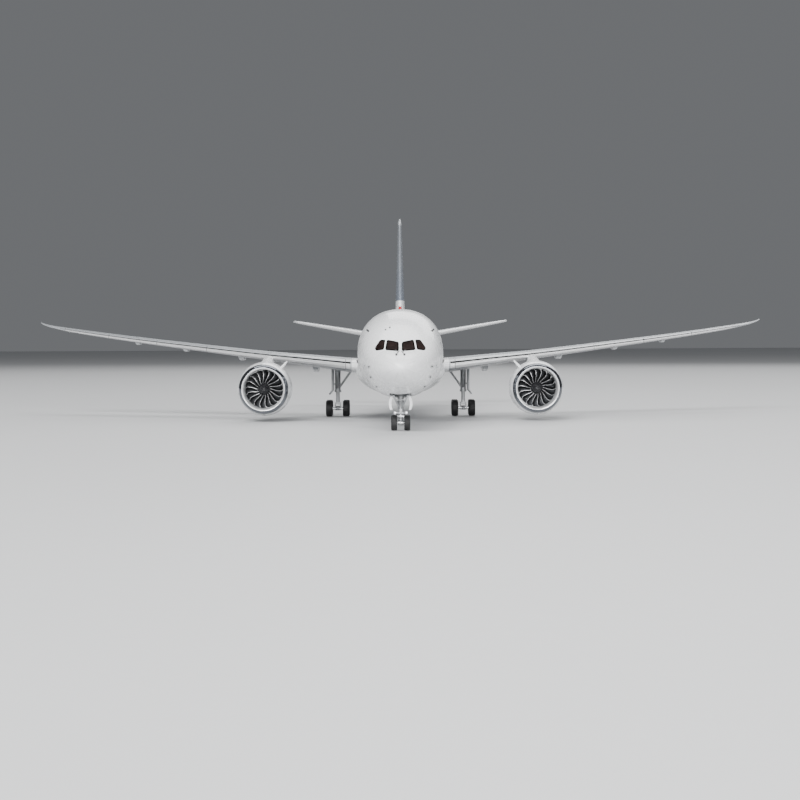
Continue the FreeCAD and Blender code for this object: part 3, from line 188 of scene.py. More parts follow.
def fuselage_point(station, angle):
    """A point of the fuselage skin. Angle 0 is port, and a quarter turn is the crown."""
    crown, keel, widest, half_width = fuselage_lines(math.sqrt(max(station, 0.0)))
    pinch = PINCH_DEPTH * math.exp(-(((station - PINCH_STATION) / PINCH_REACH) ** 2))
    up = math.sin(angle)
    reach = (crown - widest) if up > 0 else (widest - keel)
    fullness = 2 / SHOULDER_FULLNESS if up > 0 else 1
    across = math.copysign(abs(math.cos(angle)) ** fullness, math.cos(angle))
    x = HALF_WIDTH * half_width * across * (1 - pinch * max(up, 0.0) ** 2)
    up = max(up, 0.0) ** fullness + min(up, 0.0)
    return x, at_station(station), AXIS_Z + HALF_HEIGHT * (widest + reach * up)


def airfoil_point(u, chord, thickness, camber=0.0):
    """Distance aft and up of a section's point. u runs from -1 over the top to 1 underneath."""
    c = u * u
    half = 5 * thickness * (
        0.2969 * math.sqrt(c) - 0.1260 * c - 0.3516 * c**2 + 0.2843 * c**3 - 0.1036 * c**4
    ) + c * min(TRAILING_EDGE, thickness) / 2
    mean = 4 * camber * chord * c * (1 - c)
    return chord * c, mean + (half if u < 0 else -half)


def wing_point(side, x, u):
    station, chord, ratio, incidence, z = wing_lines(x)
    aft, up = airfoil_point(u, chord, ratio * chord, WING_CAMBER)
    lean = math.radians(incidence)
    y = at_station(station) + aft * math.cos(lean) + up * math.sin(lean)
    return side * x, y, z - aft * math.sin(lean) + up * math.cos(lean)


def tailplane_point(side, x, u):
    station, chord, ratio, z = tailplane_lines(x)
    aft, up = airfoil_point(u, chord, ratio * chord)
    return side * x, at_station(station) + aft, z + up


def fin_point(z, u):
    front, back, thickness = fin_lines(z)
    aft, across = airfoil_point(u, back - front, thickness)
    return -across, at_station(front) + aft, z


def fairing_point(station, angle):
    half_width, widest, belly, top = fairing_lines(station)
    side, up = math.cos(angle), math.sin(angle)
    swell = (abs(side) ** FAIRING_SQUARENESS + abs(up) ** FAIRING_SQUARENESS)
    swell **= -1 / FAIRING_SQUARENESS
    reach = (top - widest) if up > 0 else (widest - belly)
    return half_width * side * swell, at_station(station), widest + reach * up * swell


# ---- materials
def surface(
    name, colour, rough, metal, mottle, patch, grain, bump,
    coat=0.0, rough_spread=0.06, specular=0.5, stretch=(1, 1, 1),
):
    """A material whose colour, gloss and relief all vary a little.

    patch and grain are the sizes in millimetres of its tone changes and of its fine relief, bump
    the height of that relief, and specular how strongly the bare surface mirrors."""
    material = bpy.data.materials.new(name)
    material.use_nodes = True
    nodes, links = material.node_tree.nodes, material.node_tree.links
    shader = nodes["Principled BSDF"]
    place = nodes.new("ShaderNodeTexCoord")
    lay = nodes.new("ShaderNodeMapping")
    lay.inputs["Scale"].default_value = [1000 * s for s in stretch]
    links.new(place.outputs["Object"], lay.inputs["Vector"])

    def noise(size, detail):
        texture = nodes.new("ShaderNodeTexNoise")
        texture.inputs["Scale"].default_value = 1 / size
        texture.inputs["Detail"].default_value = detail
        links.new(lay.outputs["Vector"], texture.inputs["Vector"])
        return texture.outputs["Fac"]

    tone, fine = noise(patch, 5), noise(grain, 3)
    ramp = nodes.new("ShaderNodeValToRGB")
    low, high = ramp.color_ramp.elements
    low.position, high.position = 0.3, 0.7
    low.color = (*[c * (1 - 2 * mottle) for c in colour], 1)
    high.color = (*[min(1.0, c * (1 + mottle)) for c in colour], 1)
    links.new(tone, ramp.inputs["Fac"])
    links.new(ramp.outputs["Color"], shader.inputs["Base Color"])
    gloss = nodes.new("ShaderNodeMapRange")
    gloss.inputs["To Min"].default_value = max(0.02, rough - rough_spread)
    gloss.inputs["To Max"].default_value = rough + rough_spread
    links.new(fine, gloss.inputs["Value"])
    links.new(gloss.outputs["Result"], shader.inputs["Roughness"])
    relief = nodes.new("ShaderNodeBump")
    relief.inputs["Distance"].default_value = bump * MM
    links.new(fine, relief.inputs["Height"])
    links.new(relief.outputs["Normal"], shader.inputs["Normal"])
    shader.inputs["Metallic"].default_value = metal
    shader.inputs["Coat Weight"].default_value = coat
    shader.inputs["Coat Roughness"].default_value = 0.06
    shader.inputs["Specular IOR Level"].default_value = specular
    return material


def blend_along(material, axis, start, end, colours):
    """Multiplies a material's colour by a run of tints from start to end along one axis."""
    nodes, links = material.node_tree.nodes, material.node_tree.links
    shader = nodes["Principled BSDF"]
    plain = shader.inputs["Base Color"].links[0].from_socket
    place = nodes.new("ShaderNodeTexCoord")
    split = nodes.new("ShaderNodeSeparateXYZ")
    links.new(place.outputs["Object"], split.inputs["Vector"])
    span = nodes.new("ShaderNodeMapRange")
    span.inputs["From Min"].default_value = start * MM
    span.inputs["From Max"].default_value = end * MM
    links.new(split.outputs[axis], span.inputs["Value"])
    ramp = nodes.new("ShaderNodeValToRGB")
    for k, tint in enumerate(colours):
        where = k / (len(colours) - 1)
        stop = ramp.color_ramp.elements[0 if k == 0 else -1]
        if 0 < k < len(colours) - 1:
            stop = ramp.color_ramp.elements.new(where)
        stop.position, stop.color = where, (*tint, 1)
    links.new(span.outputs["Result"], ramp.inputs["Fac"])
    mix = nodes.new("ShaderNodeMix")
    mix.data_type, mix.blend_type = "RGBA", "MULTIPLY"
    mix.inputs["Factor"].default_value = 1.0
    links.new(plain, mix.inputs[6])
    links.new(ramp.outputs["Color"], mix.inputs[7])
    links.new(mix.outputs[2], shader.inputs["Base Color"])
    return material


# name, colour, roughness, metal, mottle, patch, grain, bump
WHITE = surface(
    "white_gloss", (0.86, 0.87, 0.88), 0.27, 0.0, 0.012, 40, 1.3, 0.0025, coat=0.3,
    rough_spread=0.05,
)
GREY = surface("wing_grey_satin", (0.43, 0.45, 0.47), 0.34, 0.25, 0.03, 14, 0.6, 0.003, coat=0.25)
PANEL = surface("wing_panel_grey", (0.32, 0.34, 0.36), 0.40, 0.2, 0.04, 11, 0.6, 0.004)
# the wings' and tailplanes' grey made darker for their undersides: painted shade
UNDERSIDE_PAINTED_SHADE = surface(
    "wing_underside_painted_shade", (0.27, 0.28, 0.30), 0.38, 0.2, 0.035, 14, 0.6, 0.003, coat=0.2,
)
# silver paint for the slats and tailplane edges, also the bright band painted as a highlight inside the
# intake lip
SILVER_AND_LIP_HIGHLIGHT = surface("slat_silver_and_lip_highlight", (0.88, 0.885, 0.89), 0.30, 0.65, 0.015, 9, 0.7, 0.0005, rough_spread=0.03)
# dark chrome for the intake lip: a painted dark reflection
CHROME_PAINTED_DARK_REFLECTION = surface(
    "intake_chrome_painted_dark_reflection", (0.20, 0.21, 0.23), 0.14, 1.0, 0.02, 6, 1.0, 0.0006, rough_spread=0.03,
)
LINER = surface("intake_liner", (0.52, 0.53, 0.54), 0.42, 0.3, 0.05, 3, 0.25, 0.012)
EXHAUST = blend_along(
    surface(
        "exhaust_metal", (0.50, 0.48, 0.46), 0.34, 0.95, 0.12, 2.5, 0.35, 0.006,
        stretch=(1, 0.3, 1),
    ),
    "Y", at_station(INTAKE_STATION + 9), at_station(INTAKE_STATION + 39),
    ((0.9, 0.92, 0.95), (1, 0.95, 0.86), (0.62, 0.52, 0.46), (0.5, 0.5, 0.56)),
)
BLADE = surface("fan_blade_dark", (0.060, 0.062, 0.066), 0.30, 0.8, 0.12, 1.2, 0.3, 0.004)
BLADE_EDGE = surface(
    "fan_blade_edge", (0.50, 0.50, 0.51), 0.34, 0.8, 0.04, 1.2, 0.4, 0.0008, rough_spread=0.03,
)
SPINNER = surface("spinner_black", (0.018, 0.018, 0.020), 0.28, 0.0, 0.15, 1.5, 0.4, 0.003, coat=0.5)
# dark grey for panel seams and prints, also for the painted shadow along the belly fairing's join
DARK_SEAM_AND_SHADOW = surface("panel_seam_and_painted_shadow", (0.055, 0.057, 0.060), 0.65, 0.0, 0.2, 2.0, 0.3, 0.004)
SLAT_GAP = surface("slat_gap", (0.010, 0.010, 0.011), 0.8, 0.0, 0.2, 2.0, 0.3, 0.002, specular=0.1)
SOFT_SEAM = surface("soft_seam", (0.34, 0.35, 0.36), 0.5, 0.0, 0.1, 2.0, 0.3, 0.004)
FAINT_SEAM = surface("faint_seam", (0.60, 0.61, 0.62), 0.35, 0.0, 0.06, 2.0, 0.3, 0.002)
PANE = surface(
    "window_frame_black", (0.003, 0.003, 0.003), 0.45, 0.0, 0.25, 1.5, 0.5, 0.001, specular=0.0,
)
GLASS = surface(
    "window_glass_dark", (0.016, 0.009, 0.008), 0.40, 0.0, 0.3, 2.0, 0.8, 0.0006, specular=0.012,
    rough_spread=0.05,
)
CABIN = surface(
    "cabin_window", (0.040, 0.046, 0.056), 0.12, 0.0, 0.25, 2.0, 0.6, 0.001, coat=0.8,
    rough_spread=0.04,
)
RUBBER = surface(
    "tyre_rubber", (0.018, 0.018, 0.019), 0.66, 0.0, 0.25, 1.0, 0.15, 0.02, rough_spread=0.1,
)
GEAR = surface("gear_metal", (0.44, 0.45, 0.46), 0.40, 0.35, 0.09, 1.8, 0.25, 0.008)
DARK_GEAR = surface("gear_metal_dark", (0.15, 0.155, 0.16), 0.42, 0.7, 0.12, 1.5, 0.25, 0.008)
HUB = surface("hub_metal", (0.62, 0.63, 0.64), 0.26, 0.9, 0.06, 0.8, 0.2, 0.005)
BAY = surface("bay_grey", (0.24, 0.25, 0.26), 0.6, 0.0, 0.1, 2.0, 0.3, 0.01)
FIN_BLUE = blend_along(
    surface(
        "fin_pearl_blue", (0.25, 0.27, 0.30), 0.32, 0.3, 0.02, 16, 0.7, 0.001, coat=0.4,
        rough_spread=0.03,
    ),
    "Z", 46.0, 84.0, ((0.85, 0.9, 1.0), (1.0, 1.0, 1.0), (1.08, 1.07, 1.04)),
)
LENS = surface(
    "lamp_lens", (0.90, 0.91, 0.92), 0.05, 0.35, 0.05, 0.5, 0.35, 0.01, coat=1.0,
    rough_spread=0.02,
)
RED = surface(
    "beacon_red", (0.34, 0.008, 0.010), 0.34, 0.0, 0.12, 0.6, 0.4, 0.002, coat=0.15,
    rough_spread=0.03, specular=0.2,
)
STEEL = surface("pin_steel", (0.58, 0.58, 0.60), 0.22, 1.0, 0.05, 1.0, 0.2, 0.003)


# ---- mesh helpers
SHARP_ANGLE = math.radians(32)


def smooth_shaded(obj):
    mesh = obj.data
    mesh.polygons.foreach_set("use_smooth", [True] * len(mesh.polygons))
    mesh.set_sharp_from_angle(angle=SHARP_ANGLE)


def mesh_object(name, points, faces):
    """A linked object from points in millimetres."""
    mesh = bpy.data.meshes.new(name)
    mesh.from_pydata([tuple(float(c) * MM for c in p) for p in points], [], faces)
    obj = bpy.data.objects.new(name, mesh)
    bpy.context.collection.objects.link(obj)
    return obj


def edited(obj, edit):
    """Runs edit on the object's mesh and returns the object."""
    work = bmesh.new()
    work.from_mesh(obj.data)
    edit(work)
    work.to_mesh(obj.data)
    work.free()
    return obj


def weld(work):
    bmesh.ops.remove_doubles(work, verts=work.verts, dist=1e-7)
    bmesh.ops.dissolve_degenerate(work, edges=work.edges, dist=1e-8)


def face_out(work):
    """Turns a closed mesh's faces outwards."""
    bmesh.ops.recalc_face_normals(work, faces=work.faces)


def piece(name, points, faces, materials, index, body="airframe", slot="white_paint", replaces=()):
    """A welded mesh piece that rides on a body. index gives each face's place in materials."""
    obj = mesh_object(name, points, faces)
    for material in materials:
        obj.data.materials.append(material)
    obj.data.polygons.foreach_set("material_index", index)
    edited(obj, weld)
    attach(obj, body)
    if replaces:
        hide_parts(*replaces)
    return obj


class Build:
    """Points and faces gathered for one piece, each face with its material's place."""

    def __init__(self):
        self.points, self.faces, self.index = [], [], []

    def add(self, points, faces, material=0):
        start = len(self.points)
        self.points.extend(points)
        self.faces.extend([tuple(start + v for v in face) for face in faces])
        marks = material if isinstance(material, list) else [material] * len(faces)
        self.index.extend(marks)

    def make(self, name, materials, **options):
        obj = piece(name, self.points, self.faces, materials, self.index, **options)
        smooth_shaded(edited(obj, face_out))
        return obj

    def lay_on(self, skin, name, materials, **options):
        """Makes a print, with its faces turned away from the skin that it lies on."""

        def face_away(work):
            flip = []
            for face in work.faces:
                _, normal, _, _ = skin.find_nearest(face.calc_center_median() / MM)
                if normal is not None and face.normal.dot(normal) < 0:
                    flip.append(face)
            bmesh.ops.reverse_faces(work, faces=flip)

        obj = piece(name, self.points, self.faces, materials, self.index, **options)
        smooth_shaded(edited(obj, face_away))


def grid_faces(rows, columns, ends=False):
    """Faces between rings of points laid one after another, with or without flat ends."""
    faces = [
        (
            i * columns + j, i * columns + (j + 1) % columns,
            (i + 1) * columns + (j + 1) % columns, (i + 1) * columns + j,
        )
        for i in range(rows - 1)
        for j in range(columns)
    ]
    if ends:
        last = (rows - 1) * columns
        faces += [tuple(range(columns)), tuple(range(last, last + columns))]
    return faces


def ring_faces(rows, columns):
    """Faces between rings of points where the last ring also meets the first."""
    last = (rows - 1) * columns
    return grid_faces(rows, columns) + [
        (last + k, last + (k + 1) % columns, (k + 1) % columns, k) for k in range(columns)
    ]


def spaced(start, end, count):
    return [start + (end - start) * k / (count - 1) for k in range(count)]


def with_lines(values, centres, half_width):
    """Values with three more for each groove: its two edges and its middle."""
    kept = [v for v in values if all(abs(v - c) > 1.6 * half_width for c in centres)]
    for centre in centres:
        kept += [centre - half_width, centre, centre + half_width]
    return sorted(kept)


class Panels:
    """A ring-by-ring skin with grooves cut into it along its rows and its columns.

    A groove is (place, from, to): its own row or column, and the run of the other one."""

    def __init__(self, at, rows, columns, row_cuts=(), column_cuts=(), widths=(0.1, 0.006), depth=0.07):
        row_places = sorted({cut[0] for cut in row_cuts})
        column_places = sorted({cut[0] for cut in column_cuts})
        self.rows = with_lines(rows, row_places, widths[0])
        self.columns = with_lines(columns, column_places, widths[1])
        grid = np.array([[at(r, c) for c in self.columns] for r in self.rows], float)
        self.flat = grid.reshape(-1, 3).copy()
        along = np.gradient(grid, axis=0)
        around = np.roll(grid, -1, axis=1) - np.roll(grid, 1, axis=1)
        normal = np.cross(along, around)
        length = np.linalg.norm(normal, axis=2, keepdims=True)
        normal = normal / np.where(length > 1e-12, length, 1.0)
        outward = grid - grid.mean(axis=1, keepdims=True)
        normal *= np.where((normal * outward).sum(axis=2, keepdims=True) < 0, -1.0, 1.0)
        sunk = np.zeros(grid.shape[:2], bool)
        row_at, column_at = np.array(self.rows), np.array(self.columns)
        for place, start, end in row_cuts:
            sunk[self.rows.index(place)] |= (start <= column_at) & (column_at <= end)
        for place, start, end in column_cuts:
            sunk[:, self.columns.index(place)] |= (start <= row_at) & (row_at <= end)
        self.grid = grid - normal * sunk[:, :, None] * depth
        self.sunk = sunk

    def skin(self):
        faces = grid_faces(len(self.rows), len(self.columns))
        return BVHTree.FromPolygons([tuple(p) for p in self.flat], faces)

    def in_groove(self, i, j):
        """Whether the face after row i and column j touches a groove along one side."""
        columns = len(self.columns)
        return sum(self.sunk[a, b % columns] for a in (i, i + 1) for b in (j, j + 1)) >= 2

    def build(self, material_at, materials, groove):
        """The skin with flat ends. material_at(row, column) gives each face's material."""
        parts = Build()
        marks = []
        count = len(self.columns)
        for i in range(len(self.rows) - 1):
            row = (self.rows[i] + self.rows[i + 1]) / 2
            for j in range(count):
                after = self.columns[min(j + 1, count - 1)]
                middle = (self.columns[j] + after) / 2
                marks.append(groove if self.in_groove(i, j) else material_at(row, middle))
        marks += [material_at(self.rows[0], 0), material_at(self.rows[-1], 0)]
        faces = grid_faces(len(self.rows), count, ends=True)
        points = [tuple(p) for p in self.grid.reshape(-1, 3)]
        parts.add(points, faces, [materials.index(mark) for mark in marks])
        return parts


def curve_through(points, count):
    """Evenly spread points on a smooth curve through a few, by chord length."""
    rows = np.array(points, float)
    steps = np.linalg.norm(np.diff(rows, axis=0), axis=1)
    along = np.concatenate([[0], np.cumsum(steps)])
    tangents = np.gradient(rows, along, axis=0)
    found = []
    for at in np.linspace(0, along[-1], count):
        k = int(np.clip(np.searchsorted(along, at, side="right") - 1, 0, len(rows) - 2))
        step = along[k + 1] - along[k]
        t = (at - along[k]) / step
        point = along_cubic(t, step, rows[k], rows[k + 1], tangents[k], tangents[k + 1])
        found.append(tuple(point))
    return found


def lathe(profile, centre, axis="Y", segments=96, closed=False):
    """Points and faces of a profile of (along, radius) turned about a line through centre."""
    points = []
    for along, radius in profile:
        for k in range(segments):
            turn = 2 * math.pi * k / segments
            side, up = radius * math.sin(turn), radius * math.cos(turn)
            ways = {"X": (along, side, up), "Y": (side, along, up), "Z": (side, up, along)}
            points.append(tuple(c + o for c, o in zip(centre, ways[axis])))
    if closed:
        return points, ring_faces(len(profile), segments)
    return points, grid_faces(len(profile), segments, ends=True)


def tube(path, radius, sides=10):
    """Points and faces of a round tube along a path of points."""
    path = [Vector(p) for p in path]
    points = []
    for k, here in enumerate(path):
        ahead = (path[min(k + 1, len(path) - 1)] - path[max(k - 1, 0)]).normalized()
        across = ahead.cross(UP if abs(ahead.z) < 0.9 else FRONT).normalized()
        over = across.cross(ahead)
        for j in range(sides):
            turn = 2 * math.pi * j / sides
            point = here + radius * (math.cos(turn) * across + math.sin(turn) * over)
            points.append(tuple(point))
    return points, grid_faces(len(path), sides, ends=True)


# ---- prints laid on a skin
RAY_START = 400.0


# the axis that a look goes along, and which way
WAYS = {
    "front": (1, 1), "port": (0, -1), "starboard": (0, 1), "above": (2, -1), "below": (2, 1),
}


def looking(skin, way):
    """A function that drops a point of a flat drawing onto a skin, lifted along its normal.

    A drawing's two numbers are row-frame coordinates: X and Z from the front, Y and Z from a
    side, X and Y from above or below."""
    axis, sign = WAYS[way]
    direction = Vector([sign * (k == axis) for k in range(3)])

    def drop(a, b, lift):
        start = [a, b]
        start.insert(axis, -sign * RAY_START)
        place, normal, _, _ = skin.ray_cast(start, direction)
        if place is None:
            place, normal, _, _ = skin.find_nearest(start)
        if normal.dot(direction) > 0:
            normal = -normal
        return tuple(place + normal * lift)

    return drop


def rounded(corners, radius, steps=5):
    """A closed outline with its corners rounded off."""
    outline = []
    for k, corner in enumerate(corners):
        corner = Vector(corner)
        before = Vector(corners[k - 1]) - corner
        after = Vector(corners[(k + 1) % len(corners)]) - corner
        trim = min(radius, 0.45 * before.length, 0.45 * after.length)
        start = corner + before.normalized() * trim
        end = corner + after.normalized() * trim
        for j in range(steps + 1):
            t = j / steps
            point = (1 - t) ** 2 * start + 2 * t * (1 - t) * corner + t**2 * end
            outline.append((point.x, point.y))
    return outline


def rectangle(middle, width, height, radius, steps=5):
    a, b = middle
    w, h = width / 2, height / 2
    corners = [(a - w, b - h), (a + w, b - h), (a + w, b + h), (a - w, b + h)]
    return rounded(corners, radius, steps)


def disc(middle, radius, sides=18):
    return [
        (
            middle[0] + radius * math.cos(2 * math.pi * k / sides),
            middle[1] + radius * math.sin(2 * math.pi * k / sides),
        )
        for k in range(sides)
    ]


def subdivided(outline, step, closed=True):
    """The outline with extra points, so that a long side follows a curved skin.

    An open outline loses its last point."""
    found = []
    for point, after in zip(outline, outline[1:] + outline[:1] if closed else outline[1:]):
        parts = max(1, math.ceil(math.dist(point, after) / step))
        for j in range(parts):
            found.append(tuple(a + (b - a) * (j / parts) for a, b in zip(point, after)))
    return found


def lay_patch(build, outline, drop, lift=0.03, material=0, rings=3, step=0.8):
    """A thin filled print with a rim that dips into the skin."""
    outline = subdivided(outline, step)
    middle = [sum(p[k] for p in outline) / len(outline) for k in (0, 1)]
    count = len(outline)
    points = [drop(a, b, -0.05) for a, b in outline]
    for ring in range(rings):
        share = 1 - ring / rings
        for a, b in outline:
            at = (middle[0] + (a - middle[0]) * share, middle[1] + (b - middle[1]) * share)
            points.append(drop(*at, lift))
    points.append(drop(*middle, lift))
    faces = grid_faces(rings + 1, count)
    last = rings * count
    faces += [(last + k, last + (k + 1) % count, last + count) for k in range(count)]
    build.add(points, faces, material)


def lay_line(build, path, width, drop, lift=0.025, material=0, closed=True, step=0.8):
    """A thin printed line with edges that dip into the skin."""
    path = subdivided(path, step, closed)
    count = len(path)
    points = []
    for k, (a, b) in enumerate(path):
        before = path[k - 1] if closed or k > 0 else path[k]
        after = path[(k + 1) % count] if closed or k < count - 1 else path[k]
        run = Vector((after[0] - before[0], after[1] - before[1]))
        run = run.normalized() if run.length > 1e-9 else Vector((1, 0))
        for share, height in ((-1.0, -0.04), (-0.8, lift), (0.8, lift), (1.0, -0.04)):
            offset = share * width / 2
            points.append(drop(a - run.y * offset, b + run.x * offset, height))
    faces = [
        (4 * i + j, 4 * i + j + 1, (4 * i + 4 + j + 1) % (4 * count), (4 * i + 4 + j) % (4 * count))
        for i in range(count if closed else count - 1)
        for j in range(3)
    ]
    build.add(points, faces, material)


# ---- fuselage
BARREL_JOINTS = (9.0, 48.0, 92.0, 196.0, 232.0, 262.0)
RING_POINTS = 128
ALL_ROUND = 7  # more than a full turn, so the groove closes
BAY_HALF_WIDTH, BAY_LENGTH, BAY_TOP = 3.5, 13.0, 15.2


def fuselage_stations():
    nose = [(k / 44) ** 2 * 52 for k in range(45)]
    barrel = spaced(56.0, 210.0, 40)
    tail = spaced(214.0, LENGTH, 46)
    return nose + barrel + tail


def cut_away(obj, cutters):
    """Cuts closed forms of points and faces out of a closed piece."""
    for k, (points, faces) in enumerate(cutters):
        tool = edited(mesh_object("cutter", points, faces), face_out)
        step = obj.modifiers.new(f"cut{k}", "BOOLEAN")
        step.operation, step.solver, step.object = "DIFFERENCE", "EXACT", tool
        bpy.context.view_layer.update()
        graph = bpy.context.evaluated_depsgraph_get()
        result = bpy.data.meshes.new_from_object(obj.evaluated_get(graph))
        obj.modifiers.remove(step)
        old, obj.data = obj.data, result
        bpy.data.meshes.remove(old)
        bpy.data.objects.remove(tool)
    smooth_shaded(obj)


def block(low, high):
    points = [(x, y, z) for x in (low[0], high[0]) for y in (low[1], high[1]) for z in (low[2], high[2])]
    faces = [(0, 1, 3, 2), (4, 6, 7, 5), (0, 4, 5, 1), (2, 3, 7, 6), (0, 2, 6, 4), (1, 5, 7, 3)]
    return points, faces


def make_fuselage():
    angles = spaced(0, 2 * math.pi, RING_POINTS + 1)[:-1]
    cuts = [(s, 0, ALL_ROUND) for s in BARREL_JOINTS]
    panels = Panels(fuselage_point, fuselage_stations(), angles, cuts, (), (0.08, 0.01), 0.05)
    materials = [WHITE, FAINT_SEAM, BAY]
    parts = panels.build(lambda row, column: WHITE, materials, FAINT_SEAM)
    obj = parts.make(
        "fuselage_skin", materials, replaces=["fuselage_shell"]
    )
    middle = at_station(NOSE_GEAR_STATION)
    bay = block(
        (-BAY_HALF_WIDTH, middle - BAY_LENGTH / 2, 5.0),
        (BAY_HALF_WIDTH, middle + BAY_LENGTH / 2, BAY_TOP),
    )
    cut_away(obj, [bay])
    return panels.skin()


def mirrored(side, shape):
    return [(side * a, b) for a, b in shape]


INNER_PANE = ((0.45, 26.05), (0.45, 29.0), (4.28, 29.75), (4.86, 26.42))
OUTER_PANE = ((5.3, 26.52), (4.75, 29.72), (6.45, 29.68), (8.2, 27.0), (7.75, 26.22))


def shrunk(shape, share):
    middle = [sum(p[k] for p in shape) / len(shape) for k in (0, 1)]
    return [tuple(m + (c - m) * share for c, m in zip(p, middle)) for p in shape]


def make_flight_deck(skin):
    drop = looking(skin, "front")
    panes = Build()
    for side, _ in SIDES:
        for shape, corner in ((INNER_PANE, 0.65), (OUTER_PANE, 0.5)):
            outline = rounded(mirrored(side, shape), corner)
            lay_patch(panes, outline, drop, rings=4, step=0.35)
            glass = shrunk(outline, 0.80)
            lay_patch(panes, glass, drop, 0.05, material=1, rings=4, step=0.35)
    panes.lay_on(skin, "flight_deck_windows", [PANE, GLASS])
    wipers = Build()
    for side, _ in SIDES:
        arm = [(side * 0.35, 26.15), (side * 0.75, 25.65), (side * 1.25, 25.0)]
        lay_line(wipers, arm, 0.2, drop, 0.09, closed=False)
        blade = [(side * 0.75, 25.65), (side * 1.3, 26.35), (side * 2.1, 26.55)]
        lay_line(wipers, blade, 0.14, drop, 0.08, closed=False)
        lay_patch(wipers, disc((side * 1.25, 25.0), 0.32), drop, 0.12)
    wipers.lay_on(skin, "wipers", [DARK_SEAM_AND_SHADOW])


def make_nose_prints(skin):
    drop = looking(skin, "front")
    prints = Build()
    for side, _ in SIDES:
        for x, z, radius in ((10.1, 21.1, 0.27), (9.55, 17.7, 0.27), (7.8, 14.5, 0.24)):
            lay_patch(prints, disc((side * x, z), radius), drop, 0.05)
            lay_line(prints, disc((side * x, z), radius + 0.25), 0.08, drop, material=1)
        mark = mirrored(side, ((10.0, 32.6), (10.4, 32.2), (11.2, 32.9), (10.9, 33.3)))
        lay_patch(prints, rounded(mark, 0.15), drop, 0.08)
    for x, z in ((-4.75, 32.95), (-3.35, 33.65)):
        lay_patch(prints, rectangle((x, z), 0.5, 0.42, 0.15), drop, 0.06)
    for k in range(8):
        turn = 2 * math.pi * (k + 0.5) / 8
        path = [
            (r * math.cos(turn), 21.1 + r * math.sin(turn)) for r in (1.9, 2.8, 3.7, 4.6, 5.4)
        ]
        lay_line(prints, path, 0.10, drop, material=2, closed=False)
    prints.lay_on(skin, "nose_sensors", [DARK_SEAM_AND_SHADOW, SOFT_SEAM, FAINT_SEAM])


WINDOW_Z, WINDOW_WIDTH, WINDOW_HEIGHT, WINDOW_PITCH = 28.1, 1.35, 2.3, 3.05
DOOR_STATIONS = (31.5, 93.5, 194.0, 257.0)
DOOR_WIDTH, DOOR_HEIGHT, DOOR_Z = 5.4, 9.6, 26.2
CARGO_STATIONS = (66.0, 213.0)
FIRST_WINDOW, WINDOW_COUNT = 38.0, 70
# station, height
HATCHES = ((22.0, 20.4), (44.0, 21.0), (76.0, 17.4), (205.0, 21.5), (246.0, 24.0))
PROBES = ((18.5, 21.4), (20.4, 20.6), (40.5, 19.4), (228.0, 22.0))


def make_cabin(skin):
    for _, name in SIDES:
        drop = looking(skin, name)
        windows = Build()
        for k in range(WINDOW_COUNT):
            station = FIRST_WINDOW + k * WINDOW_PITCH
            if any(abs(station - door) < DOOR_WIDTH / 2 + 1.0 for door in DOOR_STATIONS):
                continue
            middle = (at_station(station), WINDOW_Z)
            outline = rectangle(middle, WINDOW_WIDTH, WINDOW_HEIGHT, 0.6, 4)
            lay_patch(windows, outline, drop, rings=2)
            rim = rectangle(middle, WINDOW_WIDTH + 0.3, WINDOW_HEIGHT + 0.3, 0.7, 4)
            lay_line(windows, rim, 0.09, drop, material=1)
        windows.lay_on(skin, f"{name}_cabin_windows", [CABIN, SOFT_SEAM])
        doors = Build()

        def outline(station, z, width, height, corner, line):
            lay_line(doors, rectangle((at_station(station), z), width, height, corner), line, drop)

        for station in DOOR_STATIONS:
            outline(station, DOOR_Z, DOOR_WIDTH, DOOR_HEIGHT, 1.2, 0.16)
            window = disc((at_station(station), WINDOW_Z + 0.3), 0.55)
            lay_patch(doors, window, drop, material=1)
            outline(station, 24.6, 1.5, 0.7, 0.2, 0.1)
            for end in (-1, 1):
                outline(station - 1.9, DOOR_Z + end * 2.6, 0.7, 0.5, 0.12, 0.08)
        for station in CARGO_STATIONS if name == "starboard" else ():
            outline(station, 18.2, 13.4, 8.2, 1.0, 0.16)
            outline(station, 15.2, 1.6, 0.8, 0.2, 0.1)
        if name == "port":
            outline(237.0, 20.4, 5.2, 5.4, 0.8, 0.14)
        for station, z in HATCHES:
            outline(station, z, 1.6, 1.1, 0.25, 0.1)
        for station, z in PROBES:
            lay_patch(doors, disc((at_station(station), z), 0.24), drop, 0.04, material=1)
        doors.lay_on(skin, f"{name}_door_lines", [SOFT_SEAM, CABIN])


FRONT_BEACON_STATION = 60.2


def make_front_beacon():
    """A small red lens on the crown just ahead of the front aerial."""
    profile = [
        (-0.6, 0.01), (-0.6, 0.62), (0.35, 0.62), (0.6, 0.58), (0.85, 0.46), (1.0, 0.28),
        (1.06, 0.01),
    ]
    crown = fuselage_point(FRONT_BEACON_STATION, math.pi / 2)[2]
    parts = Build()
    parts.add(*lathe(profile, (0, at_station(FRONT_BEACON_STATION), crown), "Z", 40))
    parts.make("front_beacon_lens", [RED], slot="lamp")


def make_tail_end():
    """The auxiliary power unit's outlet: a metal ring round a dark bore."""
    centre = (0.0, at_station(LENGTH), AXIS_Z + HALF_HEIGHT * 0.466)
    ring = [(-1.4, 1.02), (0.15, 0.98), (0.32, 0.86), (0.32, 0.72), (0.0, 0.66), (-0.9, 0.62)]
    parts = Build()
    points, faces = lathe(ring, centre, segments=48)
    marks = [0] * len(faces)
    marks[-1] = 1
    parts.add(points, faces, marks)
    parts.make("tail_outlet", [EXHAUST, DARK_SEAM_AND_SHADOW], slot="exhaust_metal")


# ---- belly fairing and wing roots
# station, radius: the stand socket, then the two screws
BELLY_WELLS = ((136.0, 2.7), (112.0, 1.45), (160.0, 1.45))
WELL_BOTTOM, WELL_TOP = 8.6, 17.4


